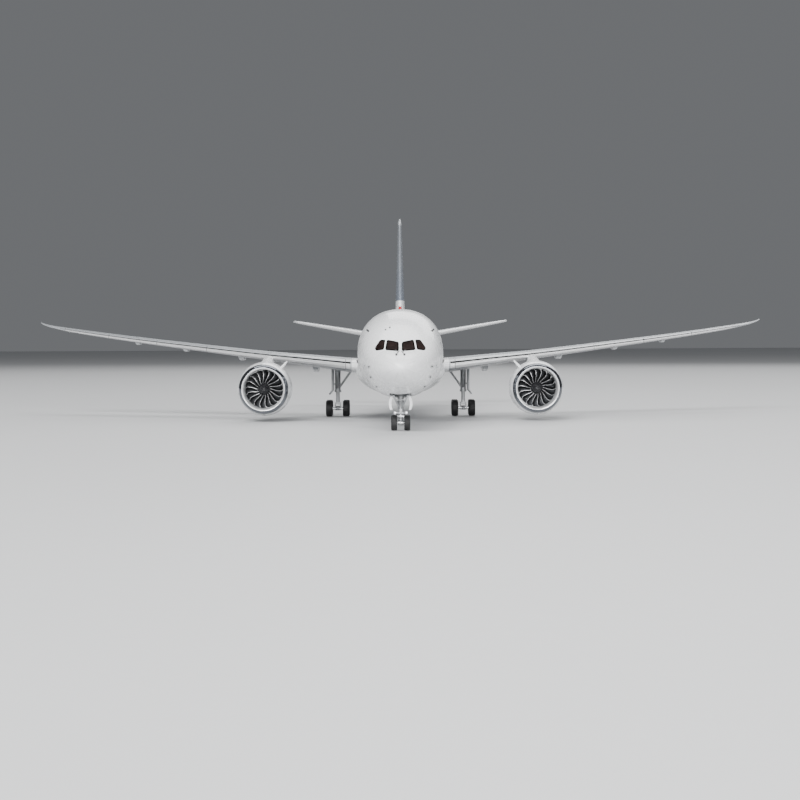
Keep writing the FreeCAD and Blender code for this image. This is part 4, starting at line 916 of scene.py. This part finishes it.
def make_fairing():
    stations = spaced(84.0, 189.0, 90)
    angles = spaced(0, 2 * math.pi, 113)[:-1]
    cuts = [(s, math.pi, 2 * math.pi) for s in (100.0, 124.0, 148.0, 174.0)]
    panels = Panels(fairing_point, stations, angles, cuts, (), (0.08, 0.01), 0.05)
    materials = [WHITE, SOFT_SEAM]
    parts = panels.build(lambda row, column: WHITE, materials, SOFT_SEAM)
    obj = parts.make(
        "belly_fairing_skin", materials, replaces=["belly_fairing"]
    )
    cut_away(obj, [
        lathe([(WELL_BOTTOM, radius), (WELL_TOP, radius)], (0, at_station(station), 0), "Z", 48)
        for station, radius in BELLY_WELLS
    ])
    root_skins = {}
    for side, name in SIDES:
        rows = spaced(8.0, WING_ROOT_X - 0.06, 14)
        columns = spaced(-1.0, 1.0, 81)
        root = Panels(lambda x, u: wing_point(side, x, u), rows, columns)
        stub = root.build(lambda row, column: WHITE, materials, SOFT_SEAM)
        stub.make(f"{name}_wing_root_skin", materials)
        root_skins[side] = root.skin()
    return root_skins


def outside_fuselage(station, x, z):
    crown, keel, widest, half_width = fuselage_lines(math.sqrt(station))
    up = (z - AXIS_Z) / HALF_HEIGHT - widest
    reach = (crown - widest) if up > 0 else (widest - keel)
    power = SHOULDER_FULLNESS if up > 0 else 2
    return abs(x / (HALF_WIDTH * half_width)) ** power + abs(up / reach) ** power > 1


def fairing_edge(station, way):
    """Where the fairing, followed up (way 1) or down (way -1), meets the fuselage, if it does."""
    for half_degrees in range(180):
        point = fairing_point(station, way * math.radians(half_degrees / 2))
        if not outside_fuselage(station, point[0], point[2]):
            return point if half_degrees else None
    return None


def make_painted_fairing_shadow():
    """A dark tube along where the belly fairing meets the fuselage, followed station by station: a
    painted shadow in the join.
    """
    stations = spaced(84.1, 188.9, 160)
    upper, lower = [[fairing_edge(s, way) for s in stations] for way in (1, -1)]
    front_low = [p for p in lower if p and p[1] < 0]
    back_low = [p for p in lower if p and p[1] >= 0]
    for side, name in SIDES:
        parts = Build()
        for run in ([p for p in upper if p], front_low, back_low):
            if len(run) > 2:
                # each run is a dark tube standing for the shadow in the join: painted shadow
                parts.add(*tube([(side * x, y, z) for x, y, z in run], 0.14, 8))
        parts.make(f"{name}_painted_fairing_shadow", [DARK_SEAM_AND_SHADOW])


def make_ram_inlets(root_skins):
    """Slanted cooling-air inlets on the wing roots, close to the fuselage."""
    for side, name in SIDES:
        drop = looking(root_skins[side], "front")
        parts = Build()
        shape = mirrored(side, ((15.9, 22.5), (16.3, 22.1), (15.5, 20.9), (15.1, 21.3)))
        lay_patch(parts, rounded(shape, 0.2), drop, 0.08, step=0.3)
        parts.lay_on(root_skins[side], f"{name}_ram_inlet", [DARK_SEAM_AND_SHADOW])


# ---- wings and tail
# places round a section, from -1 over the top to 1 underneath, and runs of distance outboard
SLAT_TOP, SLAT_BOTTOM, SLAT_LINE = -0.335, 0.19, (-0.185, -0.095)
FLAP_TOP, FLAP_BOTTOM, SPOILER_TOP, LAMP_BOTTOM = -0.872, 0.855, -0.79, 0.15
SLAT_RUN, SLAT_LINE_RUN, PANEL_RUN = (20.2, 137.0), (18.3, 136.9), (21.0, 122.0)
TIP_NOTCH, LAMP_RUN = (137.1, 139.5), (18.3, 20.2)
WING_TIP_X = 150.3
SLAT_JOINTS, FLAP_JOINTS = (20.2, 75.0, 96.0, 117.0, 137.0), (44.0, 52.0, 104.0, 130.0)
SPOILER_JOINTS = (26.0, 33.0, 40.0, 58.0, 68.0, 78.0, 88.0)
WING_MATERIALS = [GREY, SILVER_AND_LIP_HIGHLIGHT, PANEL, UNDERSIDE_PAINTED_SHADE, LENS, DARK_SEAM_AND_SHADOW, SLAT_GAP]


def within(run, value):
    return run[0] < value < run[1]


def wing_material(x, u):
    if within(SLAT_LINE_RUN, x) and within(SLAT_LINE, u):
        return SLAT_GAP
    if within(LAMP_RUN, x) and SLAT_LINE[1] < u < LAMP_BOTTOM:
        return LENS
    if within(SLAT_RUN, x) and SLAT_LINE[1] < u < SLAT_BOTTOM:
        return SILVER_AND_LIP_HIGHLIGHT
    if within(TIP_NOTCH, x) and within(SLAT_LINE, u):
        return DARK_SEAM_AND_SHADOW
    if SPOILER_TOP < u < SLAT_TOP and within(PANEL_RUN, x):
        return PANEL
    # below the slat's lower edge the skin takes the darker grey: painted shade on the underside
    return UNDERSIDE_PAINTED_SHADE if u > SLAT_BOTTOM else GREY


def make_wing(side, name):
    rows = spaced(WING_ROOT_X, 49.0, 26)[:-1] + spaced(49.0, 133.0, 60)[:-1]
    rows += spaced(133.0, 148.0, 22)[:-1] + spaced(148.0, WING_TIP_X, 10)
    rows = with_lines(rows, [*LAMP_RUN, *TIP_NOTCH], 0.02)
    columns = with_lines(spaced(-1.0, 1.0, 97), SLAT_LINE, 0.004)
    column_cuts = [(SLAT_TOP, *SLAT_RUN), (SLAT_BOTTOM, *SLAT_RUN)]
    column_cuts += [(FLAP_TOP, 18.0, 130.0), (FLAP_BOTTOM, 18.0, 130.0), (SPOILER_TOP, 26.0, 104.0)]
    row_cuts = [(x, SLAT_TOP, SLAT_BOTTOM) for x in SLAT_JOINTS]
    row_cuts += [(x, FLAP_TOP, SPOILER_TOP) for x in SPOILER_JOINTS]
    row_cuts += [(x, -1.0, FLAP_TOP) for x in FLAP_JOINTS]
    row_cuts += [(x, FLAP_BOTTOM, 1.0) for x in FLAP_JOINTS]
    panels = Panels(
        lambda x, u: wing_point(side, x, u), rows, columns, row_cuts, column_cuts,
        (0.09, 0.006), 0.12,
    )
    parts = panels.build(wing_material, WING_MATERIALS, DARK_SEAM_AND_SHADOW)
    parts.make(f"{name}_wing_skin", WING_MATERIALS, slot="wing_grey", replaces=[f"{name}_wing"])
    skin = panels.skin()
    prints = Build()
    below, above = looking(skin, "below"), looking(skin, "above")
    for x in spaced(26.0, 128.0, 26):
        if 40.0 < x < 59.0:
            continue
        station, chord, _, _, _ = wing_lines(x)
        middle = (side * x, at_station(station + 0.42 * chord))
        lay_line(prints, rectangle(middle, 1.2, min(2.4, 0.14 * chord), 0.5, 4), 0.1, below)
    for x in (30.0, 62.0, 92.0):
        station, chord, _, _, _ = wing_lines(x)
        middle = (side * x, at_station(station + 0.5 * chord))
        lay_line(prints, disc(middle, 0.6), 0.1, above)
    prints.lay_on(skin, f"{name}_wing_prints", [DARK_SEAM_AND_SHADOW], slot="wing_grey")


ELEVATOR_EDGE, ELEVATOR_RUN = 0.83, (9.0, 45.0)
TAILPLANE_EDGE, TAILPLANE_EDGE_ROOT = 0.26, 8.5


def make_tailplane(side, name):
    rows = spaced(2.5, 46.0, 44)[:-1] + spaced(46.0, 49.6, 12)
    columns = spaced(-1.0, 1.0, 73)
    column_cuts, row_cuts = [], []
    for way in (-1, 1):
        column_cuts.append((way * ELEVATOR_EDGE, *ELEVATOR_RUN))
        column_cuts.append((way * TAILPLANE_EDGE, TAILPLANE_EDGE_ROOT, 46.5))
        row_cuts += [(x, *sorted((way * ELEVATOR_EDGE, way))) for x in ELEVATOR_RUN]
    panels = Panels(
        lambda x, u: tailplane_point(side, x, u), rows, columns, row_cuts, column_cuts,
        (0.08, 0.005), 0.06,
    )

    def material_at(x, u):
        if abs(u) < TAILPLANE_EDGE and x > TAILPLANE_EDGE_ROOT:
            return SILVER_AND_LIP_HIGHLIGHT
        # aft of the silver edge the tailplane's underside takes the darker grey: painted shade
        return UNDERSIDE_PAINTED_SHADE if u > TAILPLANE_EDGE else GREY

    materials = [GREY, SILVER_AND_LIP_HIGHLIGHT, DARK_SEAM_AND_SHADOW, UNDERSIDE_PAINTED_SHADE]
    parts = panels.build(material_at, materials, DARK_SEAM_AND_SHADOW)
    parts.make(
        f"{name}_tailplane_skin", materials, slot="tailplane_plastic",
        replaces=[f"{name}_tailplane"],
    )


FIN_WHITE_TOP, FIN_TIP_Z = 47.0, 82.0
RUDDER_EDGE, RUDDER_JOINTS = 0.80, (45.0, 60.0, 81.0)


def make_fin():
    rows = spaced(35.0, 50.0, 26)[:-1] + spaced(50.0, 82.5, 40)[:-1] + spaced(82.5, 85.1, 10)
    rows = with_lines(rows, [FIN_WHITE_TOP, FIN_TIP_Z], 0.02)
    columns = spaced(-1.0, 1.0, 73)
    column_cuts = [(way * RUDDER_EDGE, RUDDER_JOINTS[0], RUDDER_JOINTS[-1]) for way in (-1, 1)]
    row_cuts = [
        (z, *sorted((way * RUDDER_EDGE, way))) for way in (-1, 1) for z in RUDDER_JOINTS
    ]
    panels = Panels(fin_point, rows, columns, row_cuts, column_cuts, (0.08, 0.005), 0.06)

    def material_at(z, u):
        if z < FIN_WHITE_TOP:
            return WHITE
        return GREY if z > FIN_TIP_Z else FIN_BLUE

    materials = [WHITE, FIN_BLUE, GREY, DARK_SEAM_AND_SHADOW]
    parts = panels.build(material_at, materials, DARK_SEAM_AND_SHADOW)
    parts.make("fin_skin", materials, slot="tail_plastic", replaces=["fin"])


# ---- engines
STRUTS, STRUT_CHORD, STRUT_THICKNESS, STRUT_FRONT = 8, 3.0, 0.42, 11.5
SWIRL_START, SWIRL_LENGTH, SWIRL_TURN = 0.25, 1.9, 1.6 * math.pi
# inside this radius the lip's inner band is bright silver: a painted highlight on the chrome
LIP_SEGMENTS, LIP_PAINTED_HIGHLIGHT_RADIUS = 160, 7.84
SPINNER_LENGTH, HUB_RADIUS = 2.9, 2.15


def engine_centre(side):
    return side * ENGINE_X, at_station(INTAKE_STATION), ENGINE_Z


def around(centre, aft, radius, turn):
    """A point beside an engine's axis. Turn 0 is straight up."""
    return centre[0] + radius * math.sin(turn), centre[1] + aft, centre[2] + radius * math.cos(turn)


def cowl_panels(centre):
    outside = monotone(COWL_OUTSIDE)
    back = COWL_OUTSIDE[-1][0]

    def at(aft, turn):
        tooth = abs(((turn * CHEVRONS / (2 * math.pi)) % 1.0) - 0.5) * 2
        end = back - CHEVRON_DEPTH * (1 - tooth)
        if aft > CHEVRON_START:
            stretch = (end - CHEVRON_START) / (back - CHEVRON_START)
            aft = CHEVRON_START + (aft - CHEVRON_START) * stretch
        return around(centre, aft, outside(aft)[0], turn)

    rows = spaced(2.02, back, 44)
    turns = spaced(0, 2 * math.pi, 241)[:-1]
    row_cuts = [(12.6, 0, ALL_ROUND)]
    column_cuts = [(math.pi, 2.2, 25.0), (0.55, 12.6, 25.0), (2 * math.pi - 0.55, 12.6, 25.0)]
    return Panels(at, rows, turns, row_cuts, column_cuts, (0.08, 0.009), 0.06), at


def make_cowl(side, name):
    centre = engine_centre(side)
    panels, at = cowl_panels(centre)
    inside = monotone(COWL_INSIDE[::-1])
    count = len(panels.columns)
    points = [tuple(p) for p in panels.grid.reshape(-1, 3)]
    for row in spaced(COWL_INSIDE[0][0], COWL_INSIDE[-1][0], 26):
        for turn in panels.columns:
            aft = at(row, turn)[1] - centre[1]
            points.append(around(centre, aft, inside(aft)[0], turn))
    total = len(points) // count
    last_outer = len(panels.rows) - 1
    marks = [int(panels.in_groove(i, j)) for i in range(last_outer) for j in range(count)]
    marks += [0] * count + [2] * count * (total - 1 - last_outer)
    faces = ring_faces(total, count)
    parts = Build()
    parts.add(points, faces, marks)
    parts.make(
        f"{name}_fan_cowl_skin", [WHITE, DARK_SEAM_AND_SHADOW, LINER], slot="nacelle_paint",
        replaces=[f"{name}_fan_cowl"],
    )


STRAKE = ((5.6, 9.3), (13.0, 9.3), (12.4, 12.8), (10.6, 12.9))
STRAKE_BASE, STRAKE_RISE, STRAKE_MIDDLE = 9.3, 3.6, 9.5
STRAKE_ROOT, STRAKE_TIP, STRAKE_TURN, STRAKE_TOE_IN = 0.95, 0.45, 39.0, 1.0


def make_strake(side, name):
    """The fin on the cowl's inboard shoulder, rounded along its edges."""
    centre = engine_centre(side)
    turn = math.radians(-STRAKE_TURN * side)
    toe_in = math.tan(math.radians(STRAKE_TOE_IN))
    outline = rounded(STRAKE, 0.7, 6)
    parts = Build()
    points = []
    for share, offset in ((0.94, -0.5), (1.0, -0.25), (1.0, 0.25), (0.94, 0.5)):
        for aft, radius in shrunk(outline, share):
            share_up = (radius - STRAKE_BASE) / STRAKE_RISE
            thick = STRAKE_ROOT + (STRAKE_TIP - STRAKE_ROOT) * share_up
            across = thick * offset - (aft - STRAKE_MIDDLE) * side * toe_in
            x = radius * math.sin(turn) + across * math.cos(turn)
            z = radius * math.cos(turn) - across * math.sin(turn)
            points.append((centre[0] + x, centre[1] + aft, centre[2] + z))
    parts.add(points, grid_faces(4, len(outline), ends=True))
    parts.make(f"{name}_strake", [WHITE], slot="nacelle_paint")


def make_lip(side, name):
    profile = curve_through(LIP_RING, 40)
    parts = Build()
    marks = []
    # the inner band takes bright silver as a painted highlight, the rest dark chrome as a painted dark
    # reflection
    for k, (_, radius) in enumerate(profile[:-1]):
        inner = radius < LIP_PAINTED_HIGHLIGHT_RADIUS and k > 0.4 * len(profile)
        marks += [int(inner)] * LIP_SEGMENTS
    marks += [0] * LIP_SEGMENTS
    parts.add(*lathe(profile, engine_centre(side), segments=LIP_SEGMENTS, closed=True), marks)
    parts.make(
        f"{name}_intake_lip_ring", [CHROME_PAINTED_DARK_REFLECTION, SILVER_AND_LIP_HIGHLIGHT], slot="bright_metal",
        replaces=[f"{name}_intake_lip"],
    )


def make_core(side, name):
    centre = engine_centre(side)
    parts = Build()
    profile = curve_through(CORE_OUTSIDE, 44) + list(CORE_INSIDE) + [(29.4, 0.3)]
    parts.add(*lathe(profile, centre))
    for k in range(STRUTS):
        turn = 2 * math.pi * (k + 0.5) / STRUTS
        out = Vector((math.sin(turn), 0, math.cos(turn)))
        across = Vector((math.cos(turn), 0, -math.sin(turn)))
        points = []
        for radius in (3.2, 4.6, 6.0, 7.42):
            for u in spaced(-1, 1, 16):
                aft, up = airfoil_point(u, STRUT_CHORD, STRUT_THICKNESS)
                aft = Vector((0, STRUT_FRONT + aft, 0))
                points.append(tuple(Vector(centre) + out * radius + across * up + aft))
        parts.add(points, grid_faces(4, 16, ends=True), 1)
    parts.make(
        f"{name}_core_skin", [EXHAUST, LINER], slot="exhaust_metal",
        replaces=[f"{name}_engine_core"],
    )
    plug = Build()
    profile = [(29.0, 2.3)] + curve_through(PLUG_OUTSIDE, 26)
    plug.add(*lathe(profile, centre, segments=64))
    plug.make(
        f"{name}_plug_skin", [EXHAUST], slot="exhaust_metal", replaces=[f"{name}_exhaust_plug"]
    )


BLADE_EDGE_RUN, BLADE_SIDES = 0.15, 18


def blade_points(turn_start, centre):
    """A swept, twisted blade with a rounded section, from hub to tip."""
    sections = monotone(BLADE_SECTIONS)
    radii = spaced(1.9, 6.9, 14)
    points = []
    for radius in radii:
        lead, width, stagger = sections(radius)
        turn, lean = math.radians(lead), math.radians(stagger)
        for u in spaced(-1, 1, BLADE_SIDES):
            run, up = airfoil_point(u, width, BLADE_THICKNESS, 0.05)
            run -= width / 2
            sideways = run * math.sin(lean) + up * math.cos(lean)
            aft = FAN_FRONT + FAN_LENGTH / 2 + run * math.cos(lean) - up * math.sin(lean)
            points.append(around(centre, aft, radius, turn_start + turn + sideways / radius))
    middles = [-1 + 2 * (j + 0.5) / (BLADE_SIDES - 1) for j in range(BLADE_SIDES)]
    ring = [int(abs(u) < BLADE_EDGE_RUN) for u in middles]
    marks = ring * (len(radii) - 1) + [0, 0]
    return points, grid_faces(len(radii), BLADE_SIDES, ends=True), marks


def make_fan(side, name):
    centre = engine_centre(side)
    parts = Build()
    for k in range(BLADES):
        parts.add(*blade_points(2 * math.pi * k / BLADES, centre))
    spinner = [(-1.0, 0.0), (-0.85, 0.55), (-0.4, 1.45), (0.0, HUB_RADIUS)]
    nose = curve_through([(share * SPINNER_LENGTH, radius) for share, radius in spinner], 24)
    hub = [(FAN_FRONT + a, max(r, 0.01)) for a, r in nose]
    hub += [(FAN_FRONT + FAN_LENGTH, HUB_RADIUS), (FAN_FRONT + FAN_LENGTH, 0.6)]
    parts.add(*lathe(hub, centre, segments=64), 2)
    swirl = []
    radius_at = monotone(hub[:24])
    for share in spaced(0, 1, 40):
        aft = hub[0][0] + SWIRL_START + share * SWIRL_LENGTH
        swirl.append(around(centre, aft, radius_at(aft)[0] + 0.03, share * SWIRL_TURN))
    parts.add(*tube(swirl, 0.045, 8), 0)
    parts.make(
        f"{name}_fan_rotor", [BLADE, BLADE_EDGE, SPINNER], body=f"{name}_fan_rotor",
        slot="fan_metal", replaces=[f"{name}_fan"],
    )


# ---- wheels and landing gear
def tyre_profile(radius, width, rim):
    """Half-round shoulders, bulged walls and three tread grooves, as a closed ring."""
    half, depth = width / 2, radius - rim
    tread = []
    for middle in (-0.42, 0.0, 0.42):
        edge, floor = 0.045 * width, 0.05 * radius
        spot = middle * half
        tread += [
            (spot - edge, radius - 0.02 * abs(middle) * radius),
            (spot - edge * 0.6, radius - floor), (spot + edge * 0.6, radius - floor),
            (spot + edge, radius - 0.02 * abs(middle) * radius),
        ]
    wall = [
        (0.72, 0.0), (0.86, 0.10), (0.90, 0.22), (0.965, 0.30), (1.0, 0.50), (0.985, 0.66),
        (0.92, 0.80), (0.82, 0.90), (0.66, 0.965),
    ]
    left = [(-a * half, rim + b * depth) for a, b in wall]
    right = [(a * half, rim + b * depth) for a, b in reversed(wall)]
    return left + tread + right


def add_wheel(tyres, wheels, centre, radius, width, rim, outward):
    tyres.add(*lathe(tyre_profile(radius, width, rim), centre, "X", 72, closed=True))
    half = width / 2
    dish = [
        (-0.70 * half, 0.0), (-0.70 * half, rim * 1.02), (0.70 * half, rim * 1.02),
        (0.78 * half, rim * 0.96), (0.74 * half, rim * 0.88), (0.46 * half, rim * 0.80),
        (0.40 * half, rim * 0.62), (0.46 * half, rim * 0.50), (0.60 * half, rim * 0.42),
        (0.86 * half, rim * 0.36), (0.92 * half, rim * 0.30), (0.94 * half, 0.0),
    ]
    dish = [(outward * a, max(r, 0.01)) for a, r in dish]
    wheels.add(*lathe(dish, centre, "X", 48))
    for k in range(8):
        turn = 2 * math.pi * k / 8
        spot = (
            centre[0] + outward * 0.40 * half, centre[1] + rim * 0.71 * math.sin(turn),
            centre[2] + rim * 0.71 * math.cos(turn),
        )
        head = [(0.0, 0.055 * rim), (outward * 0.10, 0.055 * rim), (outward * 0.13, 0.03 * rim)]
        wheels.add(*lathe(head, spot, "X", 10), 1)


def make_wheel_set(name, body, y, radius, width, rim, positions, axle_radius, nodes):
    tyres, wheels = Build(), Build()
    for x, outward in positions:
        add_wheel(tyres, wheels, (x, y, radius), radius, width, rim, outward)
    axle = [(x, axle_radius) for x in sorted(x for x, _ in positions)]
    wheels.add(*lathe(axle, (0, y, radius), "X", 24))
    tyres.make(f"{name}_tyre_rubber", [RUBBER], body=body, slot="tyre", replaces=[nodes[0]])
    wheels.make(
        f"{name}_wheel_discs", [HUB, STEEL], body=body, slot="hub_metal", replaces=[nodes[1]]
    )


def make_wheels():
    make_wheel_set(
        "nose", "nose_wheel_pair", at_station(NOSE_GEAR_STATION), 2.54, 2.0, 1.35,
        ((2.15, 1), (-2.15, -1)), 0.4, ("nose_tyres", "nose_wheels"),
    )
    for side, name in SIDES:
        for end, place in ((-1, "front"), (1, "rear")):
            x = side * MAIN_GEAR_X
            make_wheel_set(
                f"{name}_{place}", f"{name}_{place}_wheel_pair",
                at_station(MAIN_GEAR_STATION + end * 3.75), 3.175, 2.5, 1.75,
                ((x + 3.3, 1), (x - 3.3, -1)), 0.45,
                (f"{name}_{place}_tyres", f"{name}_{place}_wheels"),
            )


def make_gear_lines():
    """Brake and steering lines down the legs, and lenses over the nose lamps."""
    nose = at_station(NOSE_GEAR_STATION)
    parts = Build()
    for side in (1, -1):
        path = [
            (side * 0.75, nose - 0.95, 12.6), (side * 0.95, nose - 0.85, 10.2),
            (side * 0.85, nose - 0.95, 7.6), (side * 0.7, nose - 1.0, 5.7),
        ]
        parts.add(*tube(curve_through(path, 24), 0.08))
    for side, _ in SIDES:
        for x, y in ((0.62, -1.15), (-0.62, -1.15)):
            spot, base = side * MAIN_GEAR_X + x, at_station(MAIN_GEAR_STATION) + y
            path = [
                (spot, base, 17.0), (spot * 1.004, base - 0.15, 13.6), (spot, base, 11.0),
                (spot, base + 0.05, 9.6),
            ]
            parts.add(*tube(curve_through(path, 24), 0.08))
    parts.make("brake_lines", [DARK_GEAR], slot="gear_metal")
    lenses = Build()
    low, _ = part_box("nose_lamps")
    for side in (1, -1):
        centre = (side * 1.83, low.y / MM, 5.85)
        profile = [(0.3, 0.40), (0.02, 0.44), (-0.08, 0.38), (-0.13, 0.22), (-0.15, 0.01)]
        lenses.add(*lathe(profile, centre, segments=32))
    lenses.make("nose_lamp_lenses", [LENS], slot="lamp")


# ---- carried-over CAD nodes
CAD_FINISHES = {
    "aerials": WHITE, "beacon_lenses": RED, "belly_screws": STEEL, "nose_ballast": BAY,
    "nose_drag_brace": GEAR, "nose_fork": HUB, "nose_gear_bay": BAY, "nose_lamps": GEAR,
    "nose_leg": GEAR, "nose_torque_links": GEAR, "stand_socket": STEEL, "wing_box": BAY,
}
CAD_SIDE_FINISHES = {
    "bogie_beam": DARK_GEAR, "bogie_pin": STEEL, "fan_pin": STEEL, "flap_fairings": GREY,
    "leg_door": GEAR, "main_leg": GEAR, "main_leg_stays": GEAR, "main_torque_links": DARK_GEAR,
    "nose_door": WHITE, "pylon": WHITE,
}
BEVELLED = {
    "nose_drag_brace", "nose_fork", "nose_leg", "nose_torque_links", "bogie_beam", "leg_door",
    "main_leg", "main_leg_stays", "main_torque_links", "nose_door", "nose_lamps",
}


def finish_cad_nodes():
    finishes = dict(CAD_FINISHES)
    for _, name in SIDES:
        finishes.update({f"{name}_{part}": finish for part, finish in CAD_SIDE_FINISHES.items()})
    for node, finish in finishes.items():
        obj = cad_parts[node]
        obj.data.materials.clear()
        obj.data.materials.append(finish)
        obj.data.polygons.foreach_set("material_index", [0] * len(obj.data.polygons))
        smooth_shaded(obj)
        plain = node.removeprefix("port_").removeprefix("starboard_")
        if plain in BEVELLED:
            obj.modifiers.new("weld", "WELD").merge_threshold = 1e-7
            edge = obj.modifiers.new("soft_edges", "BEVEL")
            edge.width, edge.segments = 0.08 * MM, 2
            edge.limit_method, edge.angle_limit = "ANGLE", math.radians(40)
            edge.harden_normals = True


# ---- stage, lights and camera
def make_floor():
    material = surface("pale_floor", (0.60, 0.605, 0.61), 0.55, 0.0, 0.01, 300, 4.0, 0.003)
    reach = 6.0 / MM
    corners = [(a * reach, b * reach, 0) for a, b in ((-1, -1), (1, -1), (1, 1), (-1, 1))]
    floor = mesh_object("floor", corners, [(0, 1, 2, 3)])
    floor.data.materials.append(material)
    floor.location.z = cad_low.z - 0.00002


def add_light(name, place, size, power, target=(0, 0, 0.025)):
    data = bpy.data.lights.new(name, "AREA")
    data.shape, data.size, data.size_y = "RECTANGLE", size[0], size[1]
    data.energy = power
    light = bpy.data.objects.new(name, data)
    light.location = place
    light.rotation_euler = (Vector(target) - Vector(place)).to_track_quat("-Z", "Y").to_euler()
    bpy.context.collection.objects.link(light)


def make_studio():
    world = bpy.data.worlds.new("studio")
    bpy.context.scene.world = world
    world.use_nodes = True
    sky = world.node_tree.nodes["Background"]
    sky.inputs["Color"].default_value = (0.60, 0.62, 0.65, 1)
    sky.inputs["Strength"].default_value = 0.26
    add_light("key", (-0.45, -1.1, 1.0), (0.9, 0.6), 27)
    add_light("front", (0.15, -1.5, 0.35), (1.3, 0.5), 24)
    add_light("fill", (1.1, -0.5, 0.6), (0.8, 0.8), 5)
    add_light("top", (0.0, 0.55, 1.3), (1.4, 0.6), 10)
    add_light("back", (0.3, 1.3, 0.8), (1.0, 0.6), 6)


def make_camera():
    data = bpy.data.cameras.new("camera")
    data.sensor_width, data.lens = 36.0, 89.55
    data.clip_start, data.clip_end = 0.01, 50.0
    camera = bpy.data.objects.new("camera", data)
    camera.location = (-0.0001, -0.7795, 0.0293)
    camera.rotation_euler = (math.radians(90 - 1.70), math.radians(0.28), 0)
    bpy.context.collection.objects.link(camera)
    bpy.context.scene.camera = camera


def main():
    fuselage = make_fuselage()
    make_flight_deck(fuselage)
    make_nose_prints(fuselage)
    make_cabin(fuselage)
    make_front_beacon()
    make_tail_end()
    root_skins = make_fairing()
    make_painted_fairing_shadow()
    make_ram_inlets(root_skins)
    for side, name in SIDES:
        make_wing(side, name)
        make_tailplane(side, name)
        make_cowl(side, name)
        make_strake(side, name)
        make_lip(side, name)
        make_core(side, name)
        make_fan(side, name)
    make_fin()
    make_wheels()
    make_gear_lines()
    finish_cad_nodes()
    make_floor()
    make_studio()
    make_camera()


main()
